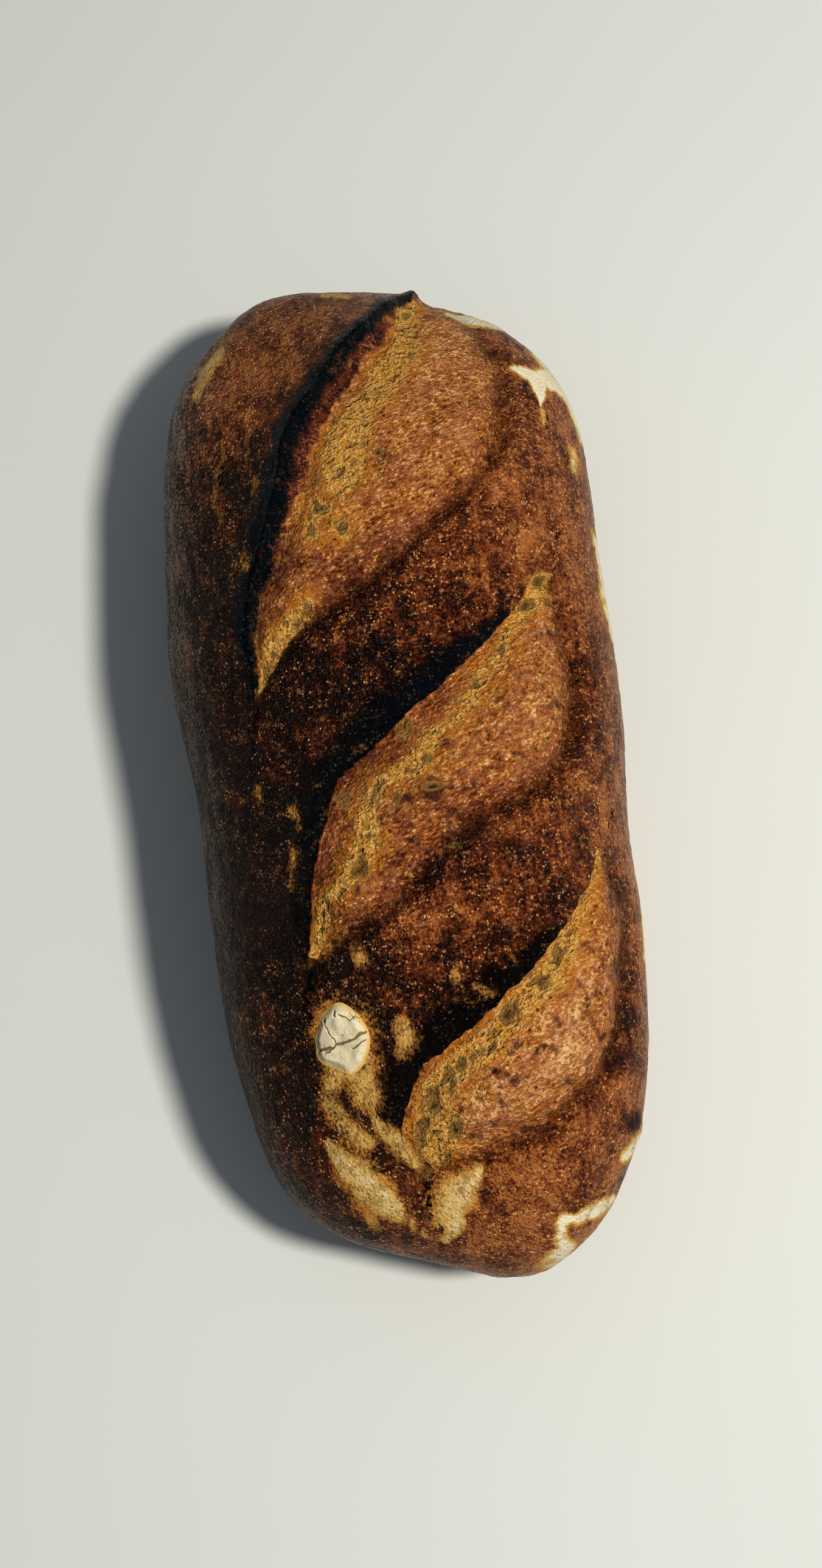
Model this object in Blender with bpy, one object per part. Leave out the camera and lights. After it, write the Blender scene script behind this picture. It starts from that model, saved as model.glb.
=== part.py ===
"""A wholemeal batard: one hearth-baked loaf with three slashes across its top and a cake of dry flour on its crust.

Metres, +Z up. +Y runs along the loaf to its fuller end, and +X across it, to the side that the slashes open towards.
The loaf is shaped about the middle of its dough, and the finished one is centred over the origin, on its flat base.
"""

import math

import bmesh
import bpy
import numpy as np

MM = 0.001

# The loaf before its slashes open: a long dome that narrows under its widest level to a flat base
LENGTH = 294 * MM
HALF_WIDTH = 63.5 * MM
WIDTH_GAIN_TO_FULL_END = 6 * MM
WIDTH_GAIN_TO_BOTH_ENDS = 12.5 * MM
CREST = 86 * MM
WIDEST_LEVEL = 37 * MM
CROSS_ROUNDNESS = 2.4
ROUNDNESS_NARROW_LEFT, ROUNDNESS_NARROW_RIGHT = 3.05, 2.45
ROUNDNESS_FULL_LEFT, ROUNDNESS_FULL_RIGHT = 2.25, 2.95
END_SLANT = -15.5 * MM

# Hand-shaped unevenness: (middle, reach, height) of each soft swelling or hollow on the crust
SWELLINGS = [
    ((61 * MM, 96 * MM, 38 * MM), 26 * MM, 2.0 * MM),
    ((60 * MM, 10 * MM, 38 * MM), 26 * MM, 0.7 * MM),
    ((58 * MM, -42 * MM, 38 * MM), 28 * MM, -0.6 * MM),
    ((36 * MM, -134 * MM, 38 * MM), 18 * MM, -1.6 * MM),
    ((10 * MM, -144 * MM, 36 * MM), 14 * MM, 1.8 * MM),
    ((-22 * MM, -140 * MM, 38 * MM), 18 * MM, -1.2 * MM),
    ((-50 * MM, -114 * MM, 38 * MM), 14 * MM, 1.8 * MM),
    ((-60 * MM, 0 * MM, 42 * MM), 22 * MM, -1.8 * MM),
    ((-64 * MM, 62 * MM, 42 * MM), 24 * MM, -1.0 * MM),
    ((-36 * MM, 134 * MM, 40 * MM), 12 * MM, -1.6 * MM),
    ((30 * MM, 134 * MM, 40 * MM), 14 * MM, -1.0 * MM),
]
ROLL_WAVE = (0.5 * MM, 96 * MM, 71 * MM)

# The grid on the dome: cells across, along and up the side. Points this close to a slash's line are moved onto it.
CELLS_ACROSS, CELLS_ALONG, CELLS_UP = 36, 82, 12
TOP_ROWS_CLOSER = 1.3
SNAP_REACH = 1.6 * MM

# A slash runs from a tip low on the left to a tip high on the right. Its ear is the lip of crust on the upper left,
# and its valley the line at the lower right, where the dough that swelled out meets the next band of crust.
SLASHES = [
    {
        "ear": [(-39, 15), (-37.5, 41), (-30.5, 66), (-20.5, 94), (-4, 117), (12, 132), (24, 141)],
        "valley": [(-39, 15), (-26, 32), (-7, 42), (14, 57), (33, 72), (43, 90), (43, 112), (35, 130), (24, 141)],
        "ear_rise": 7.0 * MM,
        "ear_reach": 8 * MM,
        "ear_face": 11 * MM,
        "cut_depth": 3.2 * MM,
        "swell": 4.2 * MM,
        "valley_depth": 3.0 * MM,
        "shoulder": 2.2 * MM,
    },
    {
        "ear": [(-33.5, -59), (-30.5, -36), (-21, -14), (-3, 3), (19, 17.5), (34, 31), (45, 43)],
        "valley": [(-33.5, -59), (-14.5, -50), (0, -40), (17, -28), (38, -17), (49, -3), (51, 14), (49, 31), (45, 43)],
        "ear_rise": 3.4 * MM,
        "ear_reach": 7 * MM,
        "ear_face": 3.6 * MM,
        "cut_depth": 2.6 * MM,
        "swell": 4.0 * MM,
        "valley_depth": 2.4 * MM,
        "shoulder": 1.6 * MM,
    },
    {
        "ear": [(-12, -120), (-15.5, -105), (-7, -89), (12, -76.5), (29.5, -63), (43, -49), (51, -36)],
        "valley": [(-12, -120), (6, -116.5), (26, -109.5), (44, -97), (52, -75), (54, -56), (51, -36)],
        "ear_rise": 3.2 * MM,
        "ear_reach": 7 * MM,
        "ear_face": 3.6 * MM,
        "cut_depth": 2.6 * MM,
        "swell": 4.4 * MM,
        "valley_depth": 1.6 * MM,
        "shoulder": 0.9 * MM,
    },
]
POINTS_PER_SPAN = 8
EAR_BACK = 1.3
TIP_FULLNESS = 0.7
CUT_RUNOUT = 14 * MM
VALLEY_RUNOUT = 7 * MM
VALLEY_WALL = 4 * MM
SHOULDER_PEAK = 7 * MM
SIDE_FADE = 8 * MM

# The flour cake: an egg-shaped crumbly patch that stands up from the crust
CAKE_MIDDLE = (-27 * MM, -81.5 * MM)
CAKE_HALF_WIDTH, CAKE_HALF_LENGTH = 7.8 * MM, 11.5 * MM
CAKE_POINTEDNESS = 0.2
CAKE_TILT = math.radians(-12)
CAKE_THICKNESS = 1.5 * MM
CAKE_RIM = (0.7, 1.1)


def smoothstep(low, high, value):
    """0 below low, 1 above high, and an even S between them."""
    share = np.clip((value - low) / (high - low), 0, 1)
    return share * share * (3 - 2 * share)


def spline(points):
    """A smooth line through the points, given in millimetres, as an array of points in metres."""
    knots = np.array(points, float) * MM
    padded = np.vstack([2 * knots[0] - knots[1], knots, 2 * knots[-1] - knots[-2]])
    share = np.linspace(0, 1, POINTS_PER_SPAN, endpoint=False)[:, None]
    spans = []
    for before, start, end, after in zip(padded, padded[1:], padded[2:], padded[3:]):
        spans.append(
            0.5
            * (
                2 * start
                + (end - before) * share
                + (2 * before - 5 * start + 4 * end - after) * share**2
                + (3 * start - before - 3 * end + after) * share**3
            )
        )
    return np.vstack([*spans, knots[-1:]])


def nearest_on(line, plan):
    """For each plan point: its distance to the line, how far along the line that is (0 to 1), and the line's
    nearest point."""
    starts, steps = line[:-1], np.diff(line, axis=0)
    lengths = np.linalg.norm(steps, axis=1)
    travelled = np.concatenate([[0], np.cumsum(lengths)])
    best = np.full(len(plan), np.inf)
    along = np.zeros(len(plan))
    foot = np.zeros_like(plan)
    for start, step, length, before in zip(starts, steps, lengths, travelled):
        share = np.clip((plan - start) @ step / length**2, 0, 1)
        point = start + share[:, None] * step
        distance = np.linalg.norm(plan - point, axis=1)
        nearer = distance < best
        best[nearer] = distance[nearer]
        along[nearer] = (before + share * length)[nearer] / travelled[-1]
        foot[nearer] = point[nearer]
    return best, along, foot


def inside_of(outline, plan):
    """Whether each plan point lies inside the closed outline."""
    inside = np.zeros(len(plan), bool)
    x, y = plan.T
    for (x0, y0), (x1, y1) in zip(outline, np.roll(outline, -1, axis=0)):
        if y0 == y1:
            continue
        crosses = (y0 > y) != (y1 > y)
        inside ^= crosses & (x < x0 + (y - y0) * (x1 - x0) / (y1 - y0))
    return inside


def box_grid():
    """A cube from -1 to 1, cut into a grid on every side."""
    grid = bmesh.new()
    bmesh.ops.create_cube(grid, size=2)
    for axis, cells in enumerate((CELLS_ACROSS, CELLS_ALONG, CELLS_UP)):
        along = [e for e in grid.edges if abs(e.verts[0].co[axis] - e.verts[1].co[axis]) > 1]
        bmesh.ops.subdivide_edges(grid, edges=along, cuts=cells - 1, use_grid_fill=True)
    return grid


def dome_points(cube):
    """Where each point of the cube lies on the loaf before its slashes open. The underside meets the base's plane at
    the cube's lower edges, and past them it is cut off flat."""
    across, along, up = cube.T.copy()
    up = 1 - 2 * ((1 - up) / 2) ** TOP_ROWS_CLOSER
    to_full, to_right = smoothstep(-0.5, 0.5, along), smoothstep(-0.5, 0.5, across)
    narrow = ROUNDNESS_NARROW_LEFT * (1 - to_right) + ROUNDNESS_NARROW_RIGHT * to_right
    full = ROUNDNESS_FULL_LEFT * (1 - to_right) + ROUNDNESS_FULL_RIGHT * to_right
    plan_roundness = narrow * (1 - to_full) + full * to_full
    plan_size = (np.abs(across) ** plan_roundness + np.abs(along) ** plan_roundness) ** (1 / plan_roundness)
    box_size = np.maximum(np.abs(across), np.abs(along))
    lower = smoothstep(0, -1, up)
    evened = 1 + lower * (box_size / np.maximum(plan_size, MM) - 1)
    across, along, plan_size = across * evened, along * evened, plan_size * evened
    size = (plan_size**CROSS_ROUNDNESS + np.abs(up) ** CROSS_ROUNDNESS) ** (1 / CROSS_ROUNDNESS)
    across, along, up = across / size, along / size, up / size
    half_width = HALF_WIDTH + WIDTH_GAIN_TO_FULL_END * along + WIDTH_GAIN_TO_BOTH_ENDS * along**2
    x = across * half_width
    y = along * LENGTH / 2 + across * END_SLANT * along**2
    underside_depth = WIDEST_LEVEL * 2 ** (1 / CROSS_ROUNDNESS)
    z = WIDEST_LEVEL + np.where(up > 0, (CREST - WIDEST_LEVEL) * up, underside_depth * up)
    return np.stack([x, y, np.maximum(z, 0)], axis=1)


def swelling_heights(points):
    """How far hand shaping and baking pushed the crust out at each point. The base stays flat."""
    height, length, width = ROLL_WAVE
    x, y, z = points.T
    out = height * np.sin(2 * math.pi * y / length) * np.cos(2 * math.pi * x / width)
    for middle, reach, rise in SWELLINGS:
        out += rise * np.exp(-np.sum((points - middle) ** 2, axis=1) / reach**2)
    return out * smoothstep(0, WIDEST_LEVEL / 2, z)


def slash_heights(slash, plan):
    """How far one slash lifts or lowers the crust along its normal."""
    ear, valley = spline(slash["ear"]), spline(slash["valley"])
    inside = inside_of(np.vstack([ear, valley[-2:0:-1]]), plan)
    to_ear, ear_share, _ = nearest_on(ear, plan)
    to_valley, valley_share, _ = nearest_on(valley, plan)
    ear_strength = np.sin(math.pi * ear_share) ** TIP_FULLNESS
    valley_strength = np.sin(math.pi * valley_share) ** TIP_FULLNESS
    lip = slash["ear_rise"] * ear_strength

    across = to_ear / np.maximum(to_ear + to_valley, MM / 100)
    floor = (
        slash["swell"] * np.minimum(ear_strength, valley_strength) * 4 * across * (1 - across)
        - slash["cut_depth"] * ear_strength * (1 - smoothstep(0, CUT_RUNOUT, to_ear))
        - slash["valley_depth"] * valley_strength * (1 - smoothstep(0, VALLEY_RUNOUT, to_valley))
    )
    opened = lip + (floor - lip) * smoothstep(0, slash["ear_face"], to_ear)

    past_peak = to_valley / SHOULDER_PEAK
    crust = (
        lip * np.exp(-((to_ear / slash["ear_reach"]) ** EAR_BACK))
        - slash["valley_depth"] * valley_strength * (1 - smoothstep(0, VALLEY_WALL, to_valley))
        + slash["shoulder"] * valley_strength * past_peak * np.exp(1 - past_peak)
    )
    return np.where(inside, opened, crust)


def cake_heights(plan):
    """How far the flour cake stands up from the crust."""
    east, north = (plan - CAKE_MIDDLE).T
    across = east * math.cos(CAKE_TILT) - north * math.sin(CAKE_TILT)
    along = east * math.sin(CAKE_TILT) + north * math.cos(CAKE_TILT)
    half_width = CAKE_HALF_WIDTH * (1 + CAKE_POINTEDNESS * along / CAKE_HALF_LENGTH)
    size = np.hypot(across / half_width, along / CAKE_HALF_LENGTH)
    return CAKE_THICKNESS * (1 - smoothstep(*CAKE_RIM, size))


def snap_to_line(grid, points, normals, line):
    """Moves the points that lie close to a slash's line onto it, and makes the line an unbroken run of edges."""
    distance, _, foot = nearest_on(line, points[:, :2])
    close = (distance < SNAP_REACH) & (points[:, 2] > WIDEST_LEVEL)
    step = np.zeros_like(points)
    step[:, :2] = foot - points[:, :2]
    step -= normals * np.sum(step * normals, axis=1)[:, None]
    points[close] += step[close]
    grid.verts.ensure_lookup_table()
    on_line = {grid.verts[index] for index in np.flatnonzero(close)}
    for face in list(grid.faces):
        corners = [vertex for vertex in face.verts if vertex in on_line]
        if len(face.verts) == 4 and len(corners) == 2 and not grid.edges.get(corners):
            bmesh.utils.face_split(face, *corners)


def place(grid, points):
    """Moves the grid's vertices to the points, and returns the vertex normals there."""
    for vertex, point in zip(grid.verts, points):
        vertex.co = point
    grid.normal_update()
    return np.array([vertex.normal for vertex in grid.verts])


def flatten_base(grid):
    """Makes the underside one flat face."""
    flat = [face for face in grid.faces if all(vertex.co.z == 0 for vertex in face.verts)]
    bmesh.ops.dissolve_faces(grid, faces=flat, use_verts=True)


def crust_material(name, colour, roughness):
    """A plain matt food finish."""
    material = bpy.data.materials.new(name)
    material.use_nodes = True
    shader = material.node_tree.nodes["Principled BSDF"]
    shader.inputs["Base Color"].default_value = (*colour, 1)
    shader.inputs["Roughness"].default_value = roughness
    shader.inputs["Metallic"].default_value = 0
    return material


def add_object(name, grid, material, collection):
    """One named object from a finished bmesh, shaded smooth."""
    mesh = bpy.data.meshes.new(name)
    grid.to_mesh(mesh)
    grid.free()
    mesh.materials.append(material)
    mesh.shade_smooth()
    made = bpy.data.objects.new(name, mesh)
    collection.objects.link(made)
    return made


def build_loaf(collection):
    """The loaf: the dome, its soft swellings, then the three opened slashes and the flour cake."""
    grid = box_grid()
    points = dome_points(np.array([vertex.co for vertex in grid.verts]))
    normals = place(grid, points)
    for slash in SLASHES:
        for side in ("ear", "valley"):
            snap_to_line(grid, points, normals, spline(slash[side]))
    points += normals * swelling_heights(points)[:, None]
    normals = place(grid, points)
    plan = points[:, :2].copy()
    relief = cake_heights(plan)
    for slash in SLASHES:
        relief += slash_heights(slash, plan)
    points += normals * (relief * smoothstep(WIDEST_LEVEL, WIDEST_LEVEL + SIDE_FADE, points[:, 2]))[:, None]
    points[:, :2] -= (points[:, :2].min(axis=0) + points[:, :2].max(axis=0)) / 2
    place(grid, points)
    flatten_base(grid)
    return add_object("loaf", grid, crust_material("dark_crust", (0.16, 0.055, 0.022), 0.55), collection)


def main():
    for leftover in list(bpy.data.objects):
        bpy.data.objects.remove(leftover)
    batard = bpy.data.collections.new("wholemeal_batard")
    bpy.context.scene.collection.children.link(batard)
    build_loaf(batard)


main()
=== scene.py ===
"""Looks for a dark-baked wholemeal batard: its blistered crust, the three torn slashes, the flour baked onto
it, and a plain stage. Metres, +Z up, +Y along the loaf to its fuller end.

Distances in the lists below are in millimetres. Most places in SLASHES, in the lists from CRUMB_STRIPS to
GOLD_DASHES, in BRUISES and in FLOUR_CAKE_OUTLINE were picked in a photograph, and another program turned them
into these millimetres."""

import itertools
import math

import bpy
import numpy as np
from bpy.props import FloatProperty, FloatVectorProperty, IntProperty, PointerProperty
from bpy.types import Operator, Panel, PropertyGroup
from mathutils import Matrix, Vector
from mathutils.bvhtree import BVHTree


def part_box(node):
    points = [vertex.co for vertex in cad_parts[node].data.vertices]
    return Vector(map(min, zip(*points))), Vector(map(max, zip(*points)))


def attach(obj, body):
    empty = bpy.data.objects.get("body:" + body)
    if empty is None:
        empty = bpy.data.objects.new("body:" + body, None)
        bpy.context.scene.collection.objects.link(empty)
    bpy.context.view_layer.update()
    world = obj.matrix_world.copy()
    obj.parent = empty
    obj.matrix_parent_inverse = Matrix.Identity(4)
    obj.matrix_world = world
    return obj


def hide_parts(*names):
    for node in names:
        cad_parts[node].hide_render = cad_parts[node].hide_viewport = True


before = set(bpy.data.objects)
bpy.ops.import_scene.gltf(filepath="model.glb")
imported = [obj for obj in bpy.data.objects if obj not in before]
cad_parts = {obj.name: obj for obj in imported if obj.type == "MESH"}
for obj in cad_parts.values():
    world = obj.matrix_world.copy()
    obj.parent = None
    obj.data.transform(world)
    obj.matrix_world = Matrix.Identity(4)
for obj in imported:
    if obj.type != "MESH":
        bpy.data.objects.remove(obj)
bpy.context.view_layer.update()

bl_info = {
    "name": "Wholemeal Batard",
    "version": (1, 0, 0),
    "blender": (4, 5, 0),
    "location": "3D View > Sidebar > Batard",
    "description": "Shapes a dark-baked wholemeal loaf, its slashes and its flour, and a plain stage",
    "category": "Add Mesh",
}

MM = 0.001

# How full the loaf's plan is at its narrow and its full end, on the left and on the right
ROUNDNESS_NARROW = (3.05, 2.45)
ROUNDNESS_FULL = (2.25, 2.95)
CROSS_ROUNDNESS = 2.4

# Soft swellings and hollows of the crust: middle, reach and height
SWELLINGS = [
    ((61, 96, 38), 26, 2.0),
    ((60, 10, 38), 26, 0.7),
    ((58, -42, 38), 28, -0.6),
    ((36, -134, 38), 18, -1.6),
    ((10, -144, 36), 14, 1.8),
    ((-22, -140, 38), 18, -1.2),
    ((-50, -114, 38), 14, 1.8),
    ((-60, 0, 42), 22, -1.8),
    ((-64, 62, 42), 24, -1.0),
    ((-36, 134, 40), 12, -1.6),
    ((30, 134, 40), 14, -1.0),
]

# The long wave in the crust: its height, and its length along and across the loaf
ROLL_WAVE = (0.5, 96, 71)

# Each slash, from its low left tip to its high right tip. Pairs give a size at each share of the way along
# the ear.
SLASHES = [
    {
        "ear": [(-39, 15), (-36.5, 41), (-28, 65), (-17.8, 92), (-1.8, 114.5), (14, 130.5), (25, 140)],
        "valley": [(-39, 15), (-26, 32), (-7, 42), (14, 57), (33, 72), (43, 90), (43, 112), (35, 130),
                   (24, 141)],
        "rise": [(0, 0), (0.12, 2.2), (0.3, 4.6), (0.5, 7.2), (0.8, 7.2), (0.93, 3.6), (1, 0)],
        "valley_fade": [(0, 1), (0.5, 1), (0.72, 0.5), (1, 0.35)],
        "face": [(0, 2.4), (0.26, 3.0), (0.4, 7.5), (0.6, 8.8), (0.8, 7.2), (1, 4.5)],
        "ledge": [(0, 0), (0.3, 0), (0.4, 1.3), (0.7, 1.0), (1, 0.4)],
        # Black band outside the ear: char, and painted shade on the ear's back, away from the light
        "char": [(0, 1.5), (0.1, 3.4), (0.3, 4.0), (0.6, 3.6), (0.85, 3.2), (1, 2)],
        "char_in": [(0, 1.5), (0.15, 3.4), (0.3, 6.0), (0.5, 5.8), (0.8, 4.4), (1, 2.0)],
        "scorch_in": 0.8,
        "cut": 3.2,
        "swell": 4.4,
        "valley_depth": 3.2,
        "shoulder": 2.4,
        "curl": 0.8,
        "undercut": 0.0,
    },
    {
        "ear": [(-33.5, -59), (-30.5, -36), (-21, -14), (-3, 3), (19, 17.5), (34, 31), (45, 43)],
        "valley": [(-33.5, -59), (-14.5, -50), (0, -40), (17, -28), (38, -17), (49, -3), (51, 14),
                   (49, 31), (45, 43)],
        "rise": [(0, 0), (0.12, 1.6), (0.35, 3.6), (0.6, 3.6), (0.85, 1.8), (1, 0)],
        "valley_fade": [(0, 1), (1, 1)],
        "face": [(0, 1.8), (0.5, 2.4), (1, 1.8)],
        "ledge": [(0, 0), (1, 0)],
        "char": [(0, 1.0), (0.1, 5.0), (0.3, 8.6), (0.55, 9.0), (0.74, 6.5), (0.88, 1.5), (1, 0)],
        "char_in": [(0, 0.7), (1, 0.7)],
        "scorch_in": 0.15,
        "cut": 2.6,
        "swell": 4.0,
        "valley_depth": 2.4,
        "shoulder": 1.8,
        "curl": 2.2,
        "undercut": 1.0,
    },
    {
        "ear": [(-12, -120), (-15.5, -105), (-7, -89), (12, -76.5), (29.5, -63), (43, -49), (51, -36)],
        "valley": [(-12, -120), (6, -116.5), (26, -109.5), (44, -97), (52, -75), (54, -56), (51, -36)],
        "rise": [(0, 0), (0.14, 1.8), (0.4, 3.4), (0.6, 3.0), (0.85, 1.4), (1, 0)],
        "valley_fade": [(0, 1), (1, 1)],
        "face": [(0, 1.8), (0.5, 2.4), (1, 1.8)],
        "ledge": [(0, 0), (1, 0)],
        "char": [(0, 0), (0.06, 3.0), (0.2, 9.0), (0.4, 8.6), (0.62, 7.5), (0.78, 1.2), (1, 0)],
        "char_in": [(0, 0.7), (1, 0.7)],
        "scorch_in": 0.15,
        "cut": 2.6,
        "swell": 4.6,
        "valley_depth": 1.6,
        "shoulder": 1.0,
        "curl": 2.0,
        "undercut": 0.9,
    },
]
EAR_REACH, EAR_BACK, TIP_FULLNESS = 8.0, 1.3, 0.7
CUT_RUNOUT, VALLEY_RUNOUT, VALLEY_WALL, SHOULDER_PEAK = 14.0, 7.0, 4.0, 7.0
CURL_REACH, VALLEY_SOFTNESS = 3.0, 5.0
SCORCH_REACH_IN, SCORCH_REACH_OUT = 2.4, 11.0
# How far the painted shade along each valley reaches, inside and outside the slash
CREASE_SHADE_REACH_IN, CREASE_SHADE_REACH_OUT = 5.5, 3.0
LEAF_PARTING = 30.0

# Where crumb shows: points along each strip, with its half width there
CRUMB_STRIPS = [
    [(20, 131, 3.1), (17.6, 116.2, 3.8), (14.1, 110.4, 4.3), (10.2, 104.9, 5), (7, 98.8, 4.3),
     (1.9, 94.3, 4.3), (-1.1, 88.8, 5.2), (-3.5, 83.4, 6.2), (-4.8, 76.2, 6.4), (-5, 72.5, 4.6),
     (-6.6, 69.6, 2.4)],
    [(-13.6, 67, 2.4), (-11.8, 64.5, 2.2)],
    [(-17, 61.5, 1.7), (-15.6, 58.5, 1.7)],
    [(-8.3, 59.5, 1.9), (-6.3, 58, 1.9)],
    [(-20, 40, 1.8), (-28, 33, 2.4), (-34, 25, 2.2), (-38, 18, 1.2)],
    [(46.9, 40, 1.2), (44.2, 38, 2.2), (39.5, 31.6, 2.2), (36.2, 27.5, 1.6), (32.9, 21.2, 1.3),
     (29.2, 16.1, 1.2), (25.5, 13.2, 1.3), (22, 8, 1.8), (17.7, 3, 1.3), (14, 0, 1.1), (10, -2, 1.6),
     (4.1, -8.8, 3), (-1.9, -12, 2.4), (-5.3, -13.2, 1.8), (-8.6, -16.9, 1.8), (-12.1, -21.2, 2.2),
     (-12.2, -26.1, 3.0), (-14, -29.9, 2.8), (-17.5, -35.2, 3.2), (-20.9, -40.2, 2.2),
     (-25.5, -43.2, 1.8), (-28.5, -49.5, 2.0), (-31.5, -56, 1.3)],
    [(49, -40, 1.6), (42, -53, 2.0), (34.5, -65.5, 2.2), (28, -73, 2.6), (20, -79, 2.8), (12, -86.5, 3.2),
     (5, -90, 3.4), (-1, -95, 3.6), (-5, -101, 4.4), (-5.5, -107.5, 5.4), (-7, -113.5, 4.2)],
]

# The pores and pits that stand out: place, half length, half width, depth
PORES = [
    (33.5, -67.7, 1.4, 1.0, 1.4), (34.2, -65.7, 2.1, 1.7, 0.7), (28.1, -73.1, 2.4, 2.1, 0.7),
    (20.6, -77.8, 1.2, 0.7, 1.0), (17.8, -80.6, 2.9, 2.0, 1.4), (12.1, -87.9, 2.4, 1.2, 1.0),
    (6.3, -88.4, 1.7, 0.7, 0.8), (3.0, -91.5, 2.9, 1.6, 0.9), (-1.2, -93.6, 2.9, 1.0, 0.8),
    (-1.1, -97.4, 2.1, 1.0, 0.9), (-5.9, -97.8, 1.9, 1.7, 0.9), (-5.5, -101.5, 2.4, 2.1, 1.4),
    (-9.0, -106.7, 2.4, 1.7, 0.9), (-1.0, -107.7, 2.9, 2.1, 1.2), (-10.1, -110.4, 1.6, 1.4, 0.7),
    (-3.9, -115.7, 1.9, 1.0, 1.6), (-10.8, -117.8, 2.6, 1.9, 2.0), (24.2, -106.1, 1.2, 0.7, 0.8),
    (31.0, -106.6, 0.8, 0.6, 0.8), (47, -45.3, 1.4, 0.9, 0.8), (5.4, 80.1, 1.8, 1.6, 1.8),
    (-2.6, 86.0, 1.2, 0.9, 0.8), (0.2, 85.6, 1.2, 0.9, 0.7), (-6.0, 75.0, 2.0, 0.8, 0.7),
    (-1.6, 77.8, 1.5, 0.8, 0.6), (18.8, 128.2, 1.7, 1.2, 0.6), (17.5, 123.0, 1.6, 1.1, 0.5),
    (19.0, 117.0, 1.6, 1.1, 0.6), (-5.5, 93.6, 1.0, 0.8, 1.4), (-6.4, 92.3, 0.9, 0.8, 1.2),
    (0.5, 110.1, 0.8, 0.7, 0.8), (28.8, 84.8, 0.8, 0.7, 0.8), (-13.2, 66.2, 2.1, 1.7, 1.1),
    (-16.1, 60.1, 1.9, 1.2, 1.3), (-7.3, 58.8, 2.1, 1.4, 0.5), (-20.5, 38.4, 2.4, 1.6, 0.8),
    (44.5, 38.6, 2.0, 1.4, 1.2), (39.9, 32.4, 2.4, 1.8, 1.4), (45.6, 32.9, 1.9, 1.4, 1.2),
    (45.9, 29.3, 0.9, 0.7, 0.8), (1.5, 0.4, 2.4, 1.7, 0.5), (6.3, -9.0, 2.1, 1.4, 0.6),
    (-2.4, -12.5, 1.4, 0.7, 1.2), (1.1, -11.1, 1.7, 0.8, 0.8), (-8.6, -17.0, 2.0, 1.2, 0.8),
    (-3.8, -20.1, 2.9, 1.2, 1.1), (-17.6, -17.5, 1.8, 1.6, 0.4), (-12.2, -27.1, 1.6, 1.2, 0.7),
    (-11.0, -29.4, 1.4, 0.8, 0.6), (-16.3, -36.1, 3.2, 2.5, 1.9), (-8.8, -35.9, 1.2, 0.7, 1.2),
    (-22.4, -41.9, 1.3, 1.0, 0.9), (-26.5, -43.0, 1.3, 0.9, 0.8), (-25.4, -45.4, 1.2, 0.8, 1.0),
    (-27.4, -46.6, 1.2, 0.9, 0.7), (32.5, -13.5, 1.2, 1.1, 1.8), (11.3, -25.2, 0.9, 0.7, 0.5),
    (17.4, 6.4, 1.2, 0.8, 0.4), (49.6, 8.1, 0.8, 0.7, 0.9), (43.2, 4.4, 0.8, 0.7, 0.6),
    (39.9, 4.6, 0.8, 0.7, 0.6), (35.3, 6.8, 0.8, 0.7, 0.5), (44.6, -6.5, 1.1, 0.6, 1.0),
    (37.7, -8.6, 0.8, 0.7, 0.4),
]
# Tears: place, half length, half width, depth, and their angle
TEARS = [
    (6.7, -16.8, 3.6, 1.1, 1.9, 6), (11, -33.8, 3.0, 0.5, 1.0, 0), (6.2, -36.8, 3.6, 0.5, 1.1, 48),
    (27, -22.8, 3.0, 0.45, 0.8, 19), (7.7, 93.2, 2.4, 0.8, 1.2, -20), (-13.1, 74, 3.0, 0.8, 1.3, 80),
    (-8, -45.5, 5.0, 0.45, 0.9, 42), (-23, -52.5, 5.0, 0.5, 0.9, 28),
]
RING_BLISTERS = [(34.6, -87.1, 2.8), (29.8, -94.2, 1.4), (37, -79, 1.6), (26.1, -76, 1.6),
                 (31.4, 81.5, 1.6), (36, -98, 1.4)]
PORE_ANGLE, FIBRE_ANGLE, FIBRE_STRETCH = math.radians(50), math.radians(22), 1.7
RANDOM_PORES_PER_STRIP = 12

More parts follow.
